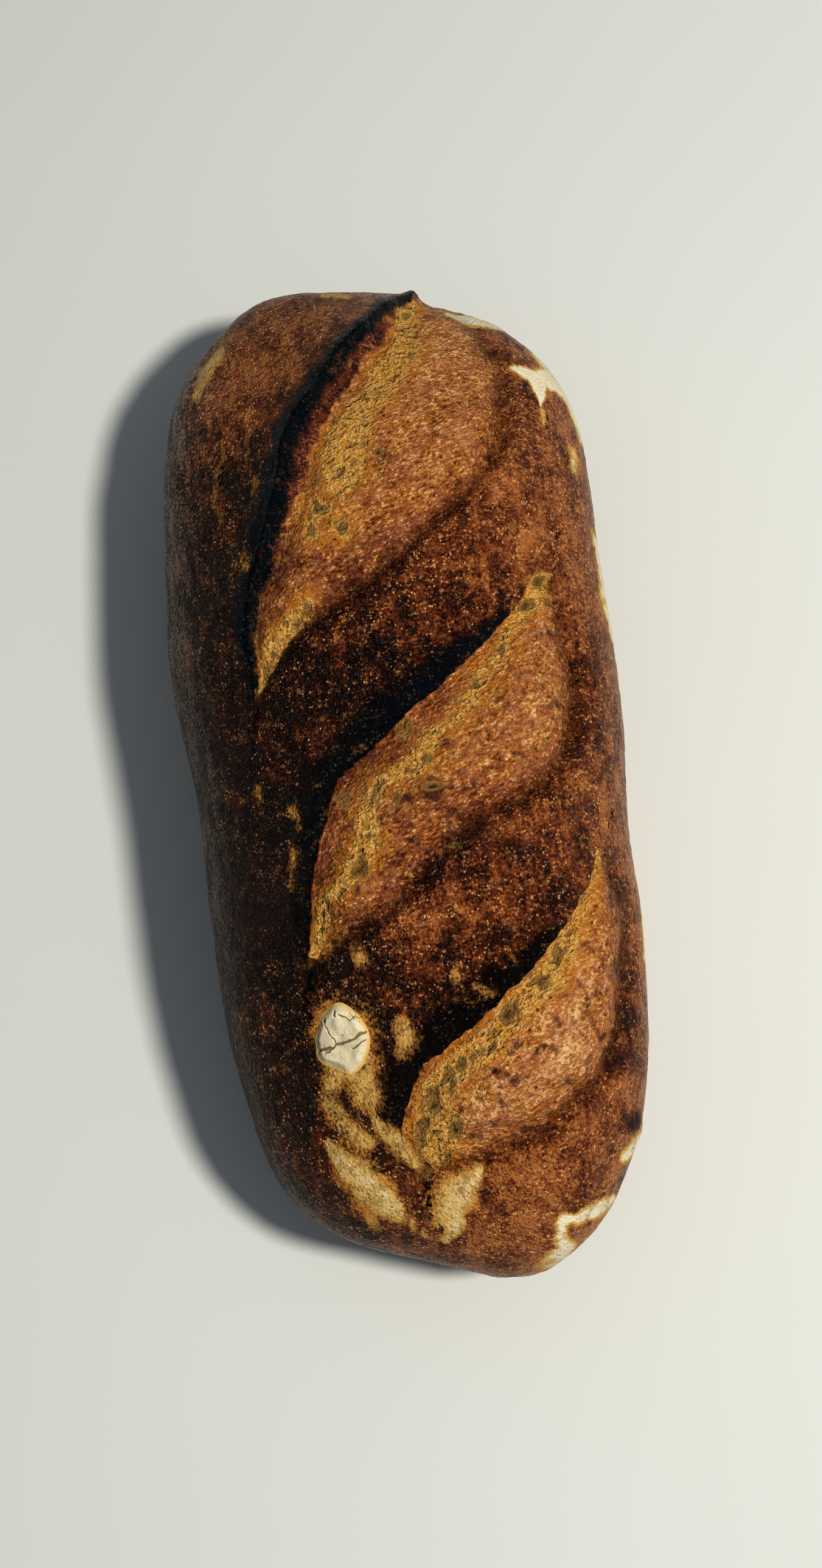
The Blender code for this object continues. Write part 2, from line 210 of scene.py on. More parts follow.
# Flour on the crust: points along each stroke with its half width, and how thick it lies
FLOUR_STROKES = [
    ([(-34.5, -106.5, 1.6), (-31.1, -112.5, 4.4), (-27.4, -117.6, 6.2), (-23.2, -123.1, 6.2),
      (-19.5, -127.3, 4.2)], 1.05),
    ([(3, -119.5, 2.1), (0.8, -122.3, 4.2), (-3.1, -126, 7.3), (-4.9, -130.8, 6), (-4.6, -133.8, 4.2),
      (-7.2, -137, 2.1)], 1.05),
    ([(-15.5, -130.6, 1.7), (-15.3, -132.6, 1.3)], 0.9),
    ([(-12.4, -133, 1.2), (-12.4, -134.6, 0.9)], 0.8),
    ([(-27, -128.5, 2.5), (-25.8, -130.5, 1.8)], 0.5),
    ([(-28, -84, 6.5), (-31, -90, 4.2), (-33, -95, 3.1), (-30.7, -101.4, 3.4), (-25.7, -106.8, 3.6),
      (-22.9, -109.1, 2.6)], 0.7),
    ([(-22.5, -88, 6), (-24.2, -95, 3.1), (-21.6, -100.5, 2.1)], 0.72),
    ([(-20.9, -103.4, 2.1), (-16.1, -110.6, 3.4), (-11.5, -116, 2.6)], 0.85),
    ([(-26, -78, 9.6), (-25.5, -84, 9.8), (-23, -92, 5.2), (-21, -97, 2.6)], 0.72),
    ([(-12.1, -80.2, 2.3), (-10.4, -79.4, 3.4), (-10.5, -83.6, 3.4), (-11.8, -87.4, 1.7)], 0.7),
    ([(-20.3, -58.4, 2.9), (-19, -61, 2.7)], 0.6),
    ([(6.7, -68, 2.1), (6.2, -70, 2.1)], 0.5),
    ([(10.8, -71.5, 1.6), (12, -72.5, 1.6)], 0.45),
    ([(-31.6, -16.4, 1.6), (-31.8, -20.4, 2.2)], 0.45),
    ([(-34, -27, 1.2), (-34, -31, 1.6), (-35.2, -37.5, 1.2)], 0.40),
    ([(-40.7, -8.1, 1.1), (-41, -12, 1.2)], 0.40),
    ([(-34.2, 56.9, 1.5), (-34.6, 52.2, 1.4)], 0.5),
    ([(29.4, -136.8, 2.1), (34.7, -135, 2.7), (40.1, -132.5, 2.2)], 1.3),
    ([(29.4, -136.8, 1.4), (25.4, -136.5, 2.3), (24, -141, 2.6), (25.7, -143.7, 3.6), (23.1, -146.5, 5.7),
      (21, -149.5, 5.7)], 1.3),
    ([(50, -114.6, 2.3), (48.6, -119.5, 3.1), (45, -122.4, 2.1)], 1.25),
    ([(47, 106.6, 1.2), (50.5, 105.6, 3), (54, 103.4, 4.7), (54.4, 99.6, 2.6), (54.1, 95.5, 1.4)], 1.9),
    ([(57.2, 106, 4.2), (60, 104, 5.7), (62.5, 102.2, 4.2), (64.5, 99, 2.5), (65.6, 93, 1.8)], 1.9),
    ([(54.8, 117.4, 2.1), (57.4, 113.1, 3.1), (59.3, 108.6, 1.8)], 1.3),
    ([(32.5, 129, 3.1), (38, 127.8, 3.9), (42.5, 126.2, 4.4), (47, 124.4, 3.6)], 1.45),
    ([(25, 140.5, 2.6), (31, 137, 2.3), (36, 134, 2.1)], 0.85),
    ([(65.8, 57, 2.2), (65.3, 46, 1.7), (64.6, 38, 2.2)], 1.4),
    ([(64.4, 35, 2.1), (65.3, 30, 1.7), (65.4, 25.4, 1.6)], 1.4),
    ([(65.6, 22, 1.3), (65.2, 15, 1), (64.9, 9.7, 1.2)], 1.2),
    ([(59.8, -56, 1.8), (60.4, -63, 2.1), (59.5, -69, 1.6)], 1.3),
    ([(54.2, 92.4, 1.4), (54.1, 87.7, 1.2)], 0.85),
    ([(61.6, 82, 1.6), (60.8, 74, 1.7)], 1.05),
    ([(65.7, 92, 1.6), (66.6, 86.5, 1.7)], 1.3),
    ([(-36, 127.6, 2.9), (-41, 121.5, 3.4), (-45, 114, 2.6)], 0.95),
    ([(-4.4, 142.2, 2.3), (-0.4, 140.4, 2.9), (2.6, 138.6, 2.1)], 0.95),
]
# Dashed lines and spots of golden flour, with their half widths
GOLD_DASHES = [
    [(-38.7, 97, 0.8), (-38.7, 90.6, 1.1), (-41.6, 85.1, 1.0), (-41.8, 81.4, 1.2), (-41.6, 75.7, 0.9),
     (-41.7, 69, 0.8)],
    [(-29.4, 102, 0.8), (-30.1, 93.8, 1.2), (-31.7, 84.9, 0.9), (-29.3, 77.3, 1.1), (-30.3, 73.7, 1.2)],
    [(-15.4, 109.8, 1.4), (-15.8, 107.8, 1.3)],
    [(-17.2, 105, 0.9), (-17.6, 103, 0.9)],
    [(-15.7, 100.8, 0.9), (-15.7, 99.8, 0.9)],
    [(-45.4, 95, 1.0), (-45.6, 91.5, 1.2)],
    [(-38.4, 56, 0.9), (-38.4, 54.8, 0.9)],
]
# Darker, purplish patches of crust: place, reach, strength
BRUISES = [
    ((52.8, 22.4), 3.2, 0.5), ((54.5, 15.8), 3.4, 0.55), ((53.6, 8.9), 3.4, 0.6), ((52.3, 1.7), 3.4, 0.65),
    ((52, -4.7), 3.4, 0.6), ((47.6, -10.3), 3.6, 0.8), ((50, -70), 6, 0.5), ((52, -84), 5, 0.7),
    ((48, -95), 6, 0.8), ((38, -108), 6, 0.6), ((24, -113), 5, 0.5), ((6.5, -18.2), 4.2, 0.9),
    ((5.4, 80), 2.8, 0.8), ((9, 76), 3.5, 0.5), ((18, -31), 7, 0.8), ((29, -37), 5, 0.7),
    ((6, -40), 5, 0.5), ((48, -113.3), 4.0, 1.0), ((-50, 10), 18, 0.7), ((-48, -40), 20, 0.8),
    ((-40, -88), 12, 0.5), ((-12, -8), 22, 0.5), ((-20, -70), 10, 0.4), ((28, 62), 8, 0.4),
    ((44, 96), 8, 0.6), ((38, 114), 6, 0.5), ((-30, 40), 10, 0.3), ((-46, 72), 10, 0.5),
    ((-22, 112), 9, 0.2),
]
# How dark the crust is, from 0 to 1: at the middle, its fall to the right, and darker or lighter regions
# This is baked colour, and painted shade where it darkens the left flank, away from the light
BAKE_AND_SHADE_MIDDLE, BAKE_AND_SHADE_FALL_RIGHT = 0.50, 0.0055
BAKE_AND_SHADE_REGIONS = [
    ((-20, 18), 26, 0.22), ((-26, -52), 20, 0.30), ((-60, -30), 36, 0.16), ((10, -140), 34, -0.22),
    ((-4, 60), 14, 0.06), ((36, 66), 18, -0.18), ((-26, 112), 30, -0.62), ((40, 120), 24, -0.08),
    ((0, -30), 16, 0.04), ((-45, -70), 24, 0.12), ((24, -88), 18, -0.34), ((14, 2), 14, 0.08),
    ((40, 16), 12, 0.2), ((42, -48), 12, 0.22), ((-14, 70), 12, -0.16), ((6, -100), 10, -0.2),
]
MARKS = ("belly", "slope", "char", "scorch", "crease", "crumb", "pore", "flour", "gold", "bruise", "baked")
CHAR_BLOB_MIDDLE = (48, -113.3)
CHAR_BLOB, CHAR_BLOB_BLACK = (CHAR_BLOB_MIDDLE, 4.0, 1.1), (CHAR_BLOB_MIDDLE, 3.0, 0.75)
EAR_HORN = ((21.5, 137.5), 2.6, 2.0)

FLOUR_CAKE_MIDDLE = (-27.3, -80.4)
FLOUR_CAKE_OUTLINE = [(-7.6, 1), (-3.8, 8.2), (1.7, 9.7), (6.1, 5), (7.5, -0.8), (4.9, -7.5), (1.9, -9.6),
                      (-2.2, -7.8), (-7, -4.4)]
# The cake's cracks, each with its points and its half width
FLOUR_CAKE_CRACKS = [
    ([(-6.6, -1.7), (-2.3, -1.5), (-1.4, -0.8), (2.4, -0.9), (4.7, 0.4), (6.4, 1)], 0.34),
    ([(-4.7, -3.3), (-3.2, -1.8)], 0.2),
    ([(-1.4, -0.8), (-3.4, 4.1), (-3.7, 6.3)], 0.15),
    ([(2.9, -2.7), (6.3, -1.5)], 0.2),
    ([(-0.9, 7.9), (-0.4, 6.2)], 0.12),
    ([(0.5, 6.5), (2.8, 5), (4.9, 5)], 0.14),
    ([(3.5, 6.5), (4.4, 4.5)], 0.12),
]

# The picture's size in pixels, and the pixel at which the point that the camera aims at stands
PICTURE_WIDTH, PICTURE_HEIGHT = 1351, 2576
AIM_IN_PICTURE = (673, 1258)
AIM_HEIGHT = 40 * MM
SENSOR_SIZE = 36
# The key light: where it stands, what it faces, its width and its colour
KEY_PLACE, KEY_AIM, KEY_SIZE = (0.56, -0.22, 1.22), (0, 0, 0.03), 0.17
KEY_COLOUR = (1.0, 0.965, 0.90)
# The pale fill low down and overhead, and what the camera sees behind the floor
FILL_LOW, FILL_HIGH, BACKDROP = (0.30, 0.34, 0.40), (0.98, 1.06, 1.18), (0.26, 0.27, 0.275)
FLOOR_LEVEL = -0.2 * MM
# How bright the darker patches of the floor and of the flour cake are, as a share of the rest
FLOOR_SHADE, CAKE_SHADE = 0.97, 0.8
# Random values of the lumps each way, before they repeat
LATTICE_CELLS = 32


class LoafSizes(PropertyGroup):
    """The sizes of the loaf before its slashes open, and how finely it is shaped."""

    length: FloatProperty(
        name="Length", description="Of the dough, end to end", default=294 * MM, unit="LENGTH"
    )
    half_width: FloatProperty(
        name="Half Width", description="At the middle", default=63.5 * MM, unit="LENGTH"
    )
    gain_to_full_end: FloatProperty(
        name="Gain to Full End",
        description="Half width gained towards the full end", default=6 * MM, unit="LENGTH"
    )
    gain_to_both_ends: FloatProperty(
        name="Gain to Both Ends",
        description="Half width gained towards either end", default=12.5 * MM, unit="LENGTH"
    )
    crest: FloatProperty(name="Crest", description="Height of the dome", default=86 * MM, unit="LENGTH")
    widest_level: FloatProperty(
        name="Widest Level", description="Height at which the loaf is widest", default=37 * MM, unit="LENGTH"
    )
    end_slant: FloatProperty(
        name="End Slant", description="How far the ends lean to one side", default=-15.5 * MM, unit="LENGTH"
    )
    wobble: FloatProperty(
        name="Wobble",
        description="How far the torn lines stray from smooth ones", default=0.9 * MM, unit="LENGTH"
    )
    crust_grain: FloatProperty(
        name="Crust Grain", description="Height of the crust's small lumps", default=0.34 * MM, unit="LENGTH"
    )
    torn_grain: FloatProperty(
        name="Torn Grain",
        description="Height of the fibres where the dough tore", default=0.7 * MM, unit="LENGTH"
    )
    flour_cake_thickness: FloatProperty(
        name="Flour Cake Thickness", description="Of the cake of dry flour", default=1.7 * MM, unit="LENGTH"
    )
    cells_across: IntProperty(
        name="Cells Across", description="Grid cells across the dome", default=176, min=20
    )
    cells_along: IntProperty(name="Cells Along", description="Grid cells along the dome", default=392, min=40)
    cells_up: IntProperty(name="Cells Up", description="Grid cells up the side", default=46, min=12)
    triangles: IntProperty(
        name="Triangles", description="Most triangles in the finished loaf", default=196000, min=1000
    )


class LoafColours(PropertyGroup):
    """The colours of the crust, the torn dough and the flour."""


COLOURS = {
    "crust_darkest": ("Crust, Darkest", (0.0060, 0.0024, 0.0030)),
    "crust_dark": ("Crust, Dark", (0.036, 0.0076, 0.0038)),
    "crust_red": ("Crust, Red-Brown", (0.145, 0.040, 0.0115)),
    "crust_light": ("Crust, Lightest", (0.33, 0.130, 0.040)),
    # Painted highlight: amber glints mixed into the crust colour
    "painted_glint": ("Crust, Glints", (0.74, 0.43, 0.185)),
    "speck": ("Blister Specks", (0.52, 0.28, 0.120)),
    "torn_darkest": ("Torn Dough, Darkest", (0.055, 0.016, 0.0100)),
    "torn_dark": ("Torn Dough, Dark", (0.145, 0.042, 0.015)),
    "torn_mid": ("Torn Dough, Middle", (0.35, 0.128, 0.030)),
    "torn_light": ("Torn Dough, Light", (0.50, 0.230, 0.056)),
    "torn_pale": ("Torn Dough, Palest", (0.76, 0.50, 0.27)),
    "torn_rosy": ("Torn Dough, Rosy", (0.42, 0.165, 0.095)),
    "torn_yellow": ("Torn Dough, Yellow", (0.56, 0.262, 0.032)),
    "crumb": ("Crumb", (0.60, 0.305, 0.052)),
    "crumb_pale": ("Crumb, Pale", (0.76, 0.52, 0.21)),
    "pore": ("Pores", (0.26, 0.155, 0.052)),
    # Painted shade deep in the deeper pores
    "pore_deep_shade": ("Pores, Deepest", (0.022, 0.010, 0.006)),
    "char_brown": ("Char, Brown", (0.0050, 0.0030, 0.0028)),
    # Painted highlight: pale glints on the char
    "char_painted_glint": ("Char, Flecks", (0.085, 0.074, 0.066)),
    # Near-black char with a painted blue sheen in its colour
    "char": ("Char", (0.0006, 0.0092, 0.0160)),
    "purple": ("Bruised Crust", (0.030, 0.0088, 0.0112)),
    # Dust, and a painted sheen on the left flank, which lies in shade
    "dust_and_sheen": ("Dusty Film", (0.46, 0.34, 0.27)),
    "flour_thin": ("Flour, Baked In", (0.38, 0.185, 0.040)),
    "flour_thick": ("Flour, Thick", (0.50, 0.338, 0.118)),
    "flour_white": ("Flour, White", (0.61, 0.555, 0.41)),
    "flour_crack": ("Flour Cracks", (0.20, 0.165, 0.085)),
    "floor": ("Floor", (0.545, 0.55, 0.52)),
}
for key, (label, colour) in COLOURS.items():
    LoafColours.__annotations__[key] = FloatVectorProperty(
        name=label, description="Linear colour", default=colour, size=3, subtype="COLOR", min=0, max=1
    )


class StageSettings(PropertyGroup):
    """The camera's place and the lights."""

    lean: FloatProperty(
        name="Lean", description="How far the view leans from straight down to the narrow end",
        default=math.radians(11), subtype="ANGLE",
    )
    turn: FloatProperty(
        name="Turn",
        description="How far the loaf turns in the picture", default=math.radians(8.3), subtype="ANGLE"
    )
    distance: FloatProperty(name="Distance", description="From camera to loaf", default=0.641, unit="LENGTH")
    lens: FloatProperty(name="Lens", description="Focal length in millimetres", default=50.1)
    key_power: FloatProperty(
        name="Key Power", description="Of the soft key light", default=16.0, unit="POWER"
    )
    fill_strength: FloatProperty(name="Fill Strength", description="Of the light all round", default=0.26)
    floor_size: FloatProperty(name="Floor Size", description="Side of the floor", default=6.0, unit="LENGTH")


def smoothstep(low, high, value):
    """0 below low, 1 above high, and an even S between them."""
    share = np.clip((value - low) / (high - low), 0, 1)
    return share * share * (3 - 2 * share)


def lattice_noise(points, size, seed):
    """Smooth random values from -1 to 1, a lump to each size."""
    table = np.random.default_rng(seed).uniform(-1, 1, (LATTICE_CELLS,) * 3)
    spot = points / size
    cell = np.floor(spot).astype(int)
    share = spot - cell
    share = share * share * (3 - 2 * share)
    total = np.zeros(len(points))
    for corner in itertools.product((0, 1), repeat=3):
        weight = np.prod(np.where(corner, share, 1 - share), axis=1)
        i, j, k = ((cell + corner) % LATTICE_CELLS).T
        total += weight * table[i, j, k]
    return total


class Line:
    """A smooth line over the loaf through points in millimetres. A point's further numbers go along."""

    def __init__(self, points, per_span=8):
        knots = np.array(points, float)
        padded = np.vstack([2 * knots[0] - knots[1], knots, 2 * knots[-1] - knots[-2]])
        share = np.linspace(0, 1, per_span, endpoint=False)[:, None]
        spans = []
        for before, start, end, after in zip(padded, padded[1:], padded[2:], padded[3:]):
            slope = (end - before) * share
            bend = (2 * before - 5 * start + 4 * end - after) * share**2
            twist = (3 * start - before - 3 * end + after) * share**3
            spans.append(start + (slope + bend + twist) / 2)
        knots = np.vstack([*spans, knots[-1:]])
        self.points, self.extra = knots[:, :2], knots[:, 2:]
        steps = np.diff(self.points, axis=0)
        self.travelled = np.concatenate([[0], np.cumsum(np.linalg.norm(steps, axis=1))])
        along = np.gradient(self.points, axis=0)
        along /= np.linalg.norm(along, axis=1)[:, None]
        self.inward = np.stack([along[:, 1], -along[:, 0]], axis=1)

    def measure(self, plan):
        """For each plan point: its distance, the share of the way along, the line's right-hand normal there,
        and the line's further numbers."""
        nearest = np.full(len(plan), np.inf)
        place = np.zeros(len(plan))
        for index, (start, end) in enumerate(zip(self.points, self.points[1:])):
            step = end - start
            share = np.clip((plan - start) @ step / (step @ step), 0, 1)
            gap = plan - start - share[:, None] * step
            distance = np.einsum("ij,ij->i", gap, gap)
            nearer = distance < nearest
            nearest[nearer] = distance[nearer]
            place[nearer] = index + share[nearer]
        marks = np.arange(len(self.points))
        share = np.interp(place, marks, self.travelled / self.travelled[-1])
        inward = np.stack([np.interp(place, marks, column) for column in self.inward.T], axis=1)
        extra = [np.interp(place, marks, column) for column in self.extra.T]
        return np.sqrt(nearest), share, inward, extra


def at_share(share, pairs):
    """The size that the pairs give at each share of the way."""
    return np.interp(share, *zip(*pairs))


def inside_of(outline, plan):
    """Whether each plan point lies inside the closed outline."""
    inside = np.zeros(len(plan), bool)
    x, y = plan.T
    for (x0, y0), (x1, y1) in zip(outline, np.roll(outline, -1, axis=0)):
        if y0 != y1:
            inside ^= ((y0 > y) != (y1 > y)) & (x < x0 + (y - y0) * (x1 - x0) / (y1 - y0))
    return inside


def turned(plan, middle, angle):
    """Plan points measured from a middle, along and across a direction."""
    east, north = (plan - middle).T
    return east * math.cos(angle) + north * math.sin(angle), north * math.cos(angle) - east * math.sin(angle)


def dome_points(cube, sizes):
    """Where each point of the cube lies on the loaf before its slashes open, in millimetres."""
    across, along, up = np.tan(cube * math.pi / 4).T
    to_full, to_right = smoothstep(-0.5, 0.5, along), smoothstep(-0.5, 0.5, across)
    narrow = ROUNDNESS_NARROW[0] * (1 - to_right) + ROUNDNESS_NARROW[1] * to_right
    full = ROUNDNESS_FULL[0] * (1 - to_right) + ROUNDNESS_FULL[1] * to_right
    plan_roundness = narrow * (1 - to_full) + full * to_full
    plan_size = (np.abs(across) ** plan_roundness + np.abs(along) ** plan_roundness) ** (1 / plan_roundness)
    box_size = np.maximum(np.abs(across), np.abs(along))
    evened = 1 + smoothstep(0, -1, up) * (box_size / np.maximum(plan_size, MM) - 1)
    across, along, plan_size = across * evened, along * evened, plan_size * evened
    size = (plan_size**CROSS_ROUNDNESS + np.abs(up) ** CROSS_ROUNDNESS) ** (1 / CROSS_ROUNDNESS)
    across, along, up = across / size, along / size, up / size
    half_width = sizes.half_width + sizes.gain_to_full_end * along + sizes.gain_to_both_ends * along**2
    x = across * half_width
    y = along * sizes.length / 2 + across * sizes.end_slant * along**2
    below = sizes.widest_level * 2 ** (1 / CROSS_ROUNDNESS)
    z = sizes.widest_level + np.where(up > 0, (sizes.crest - sizes.widest_level) * up, below * up)
    return np.stack([x, y, np.maximum(z, 0)], axis=1) / MM


def draw_to_ears(points, normals, top):
    """Draws the grid closer together on both sides of the ears, where the shapes are smallest."""
    middle, reach, strength = 3.0, 9.0, 0.58
    for slash in SLASHES:
        line = Line(slash["ear"])
        distance, _, inward, _ = line.measure(points[:, :2])
        foot_side = np.sign(np.einsum("ij,ij->i", inward, points[:, :2] - nearest_foot(line, points[:, :2])))
        away = distance * foot_side - middle
        pull = np.zeros_like(points)
        pull[:, :2] = -inward * (strength * away * np.exp(-((away / reach) ** 2)) * top)[:, None]
        pull -= normals * np.einsum("ij,ij->i", pull, normals)[:, None]
        points = points + pull
    return points


def nearest_foot(line, plan):
    """The line's point nearest to each plan point."""
    nearest = np.full(len(plan), np.inf)
    foot = np.zeros_like(plan)
    for start, end in zip(line.points, line.points[1:]):
        step = end - start
        share = np.clip((plan - start) @ step / (step @ step), 0, 1)
        spot = start + share[:, None] * step
        distance = np.linalg.norm(plan - spot, axis=1)
        nearer = distance < nearest
        nearest[nearer] = distance[nearer]
        foot[nearer] = spot[nearer]
    return foot


def swelling_heights(points, widest_level):
    """How far hand shaping and baking pushed the crust out, before the slashes. The base stays flat."""
    x, y, z = points.T
    height, length, width = ROLL_WAVE
    out = height * np.sin(2 * math.pi * y / length) * np.cos(2 * math.pi * x / width)
    for middle, reach, rise in SWELLINGS:
        out += rise * np.exp(-np.sum((points - middle) ** 2, axis=1) / reach**2)
    return out * smoothstep(0, widest_level / 2, z)


def open_slash(slash, plan):
    """One slash: how far it lifts each point, how far it moves it sideways, and where its finishes lie."""
    ear, valley = Line(slash["ear"]), Line(slash["valley"])
    inside = inside_of(np.vstack([ear.points, valley.points[-2:0:-1]]), plan)
    to_ear, share, inward, _ = ear.measure(plan)
    to_valley, valley_share, _, _ = valley.measure(plan)
    rise = at_share(share, slash["rise"])
    strength = np.sin(math.pi * share) ** TIP_FULLNESS
    valley_fade = at_share(valley_share, slash["valley_fade"])
    valley_strength = np.sin(math.pi * valley_share) ** TIP_FULLNESS * valley_fade
    face = at_share(share, slash["face"])
    ledge = at_share(share, slash["ledge"])

    across = to_ear / np.maximum(to_ear + to_valley, 0.01)
    floor = (
        slash["swell"] * np.minimum(strength, valley_strength) * 4 * across * (1 - across)
        - slash["cut"] * strength * (1 - smoothstep(0, CUT_RUNOUT, to_ear)) * (1 - across**2)
        - slash["valley_depth"] * valley_strength * (1 - smoothstep(0, VALLEY_RUNOUT, to_valley))
    )
    down = to_ear / face
    drop = smoothstep(0, 1, down) * (ledge == 0) + np.clip(down, 0, 1) ** 1.25 * (ledge > 0)
    opened = rise + (floor + ledge * (down < 1) * (1 - across) - rise) * drop
    opened -= 0.5 * ledge * np.exp(-(((down - 1.04) * face / 0.9) ** 2)) * (down >= 1)

    past_peak = to_valley / SHOULDER_PEAK
    crust = (
        rise * np.exp(-((to_ear / EAR_REACH) ** EAR_BACK))
        - slash["valley_depth"] * valley_strength * (1 - smoothstep(0, VALLEY_WALL, to_valley))
        + slash["shoulder"] * valley_strength * past_peak**1.5 * np.exp(1.5 * (1 - past_peak))
    )
    lean = slash["curl"] * np.exp(-((to_ear / CURL_REACH) ** 2))
    under = slash["curl"] - (slash["curl"] + slash["undercut"]) * smoothstep(0, 1, down)
    under = np.where(down < 1, under, -slash["undercut"] * (1 - smoothstep(0, 5, to_ear - face)))
    lift_share = np.clip(rise / 3, 0, 1)
    shift = inward * (np.where(inside, under, lean) * lift_share)[:, None]

    # The black band: char, and painted shade on the ear's back, away from the light
    black_band_width = at_share(share, slash["char"])
    black_out = 1 - smoothstep(0.25, 1.25, to_ear / np.maximum(black_band_width, 0.01))
    black_in = 1 - smoothstep(0.35, 1.1, to_ear / at_share(share, slash["char_in"]))
    nearest_edge = np.minimum(to_ear, to_valley / VALLEY_SOFTNESS)
    scorch_in = slash["scorch_in"] * np.exp(-to_ear / SCORCH_REACH_IN)
    crease_shade_reach = np.where(inside, CREASE_SHADE_REACH_IN, CREASE_SHADE_REACH_OUT)
    marks = {
        "belly": np.where(inside, nearest_edge, -nearest_edge),
        "char": np.where(inside, black_in, black_out) * smoothstep(0.2, 2.5, black_band_width),
        "slope": np.where(inside, (face - to_ear) * smoothstep(5, 9, face), -5),
        "scorch": np.where(inside, scorch_in, np.exp(-to_ear / SCORCH_REACH_OUT)) * strength,
        # Painted shade along the valley, where the next crust band's wall faces away from the light
        "crease": np.exp(-((to_valley / crease_shade_reach) ** 2)) * valley_strength,
    }
    return np.where(inside, opened, crust), shift, marks


def strip_field(strip, plan):
    """1 along the middle of a strip, falling to 0 at its edges and below 0 past them."""
    distance, _, _, (half_width,) = Line(strip).measure(plan)
    return 1 - distance / half_width


def strip_depth(strip, plan):
    """How far inside the strip each plan point lies, below 0 outside it."""
    distance, _, _, (half_width,) = Line(strip).measure(plan)
    return half_width - distance


def pore_list(rng):
    """The pores and tears that stand out, and the smaller pores that follow the crumb."""
    pores = [(*pore, PORE_ANGLE) for pore in PORES]
    pores += [(*tear, math.radians(angle)) for *tear, angle in TEARS]
    for strip in CRUMB_STRIPS:
        line = Line(strip)
        count = int(RANDOM_PORES_PER_STRIP * line.travelled[-1] / 100) + 3
        for share in rng.uniform(0, 1, count):
            index = int(share * (len(line.points) - 1))
            (x, y), (half_width,) = line.points[index], line.extra[index]
            x, y = (x, y) + rng.normal(0, 0.5, 2) * half_width
            long = rng.uniform(0.8, 1.4)
            short = long * rng.uniform(0.45, 0.8)
            pores.append((x, y, long, short, long * 0.4, PORE_ANGLE + rng.normal(0, 0.5)))
    return pores


def sink_pores(plan, rng):
    """How deep pores, tears and ring blisters sink the surface, and how far inside a pore each point is."""
    depth, mark = np.zeros(len(plan)), np.full(len(plan), -1.0)
    uneven = lattice_noise(np.c_[plan, np.zeros(len(plan))], 1.5, 32)
    for x, y, long, short, deep, angle in pore_list(rng):
        close = np.flatnonzero(np.abs(plan - (x, y)).max(axis=1) < 2.4 * long)
        along, across = turned(plan[close], (x, y), angle)
        size = np.hypot(along / long, across / short) * (1 + 0.3 * uneven[close])
        bowl = 1 - smoothstep(0.45, 1.05, size)
        rim = 0.16 * np.exp(-(((size - 1.25) / 0.28) ** 2))
        depth[close] += deep * (rim - bowl)
        mark[close] = np.maximum(mark[close], (1 - size) * min(1.1, 0.4 + 0.5 * deep))
    for x, y, radius in RING_BLISTERS:
        size = np.linalg.norm(plan - (x, y), axis=1) / radius
        depth += 0.25 * np.exp(-(((size - 1) / 0.16) ** 2)) + 0.15 * (1 - smoothstep(0, 1, size))
    return depth, mark


def mound(plan, middle, reach, height=1.0):
    """A round mound."""
    return height * np.exp(-np.sum((plan - middle) ** 2, axis=1) / reach**2)


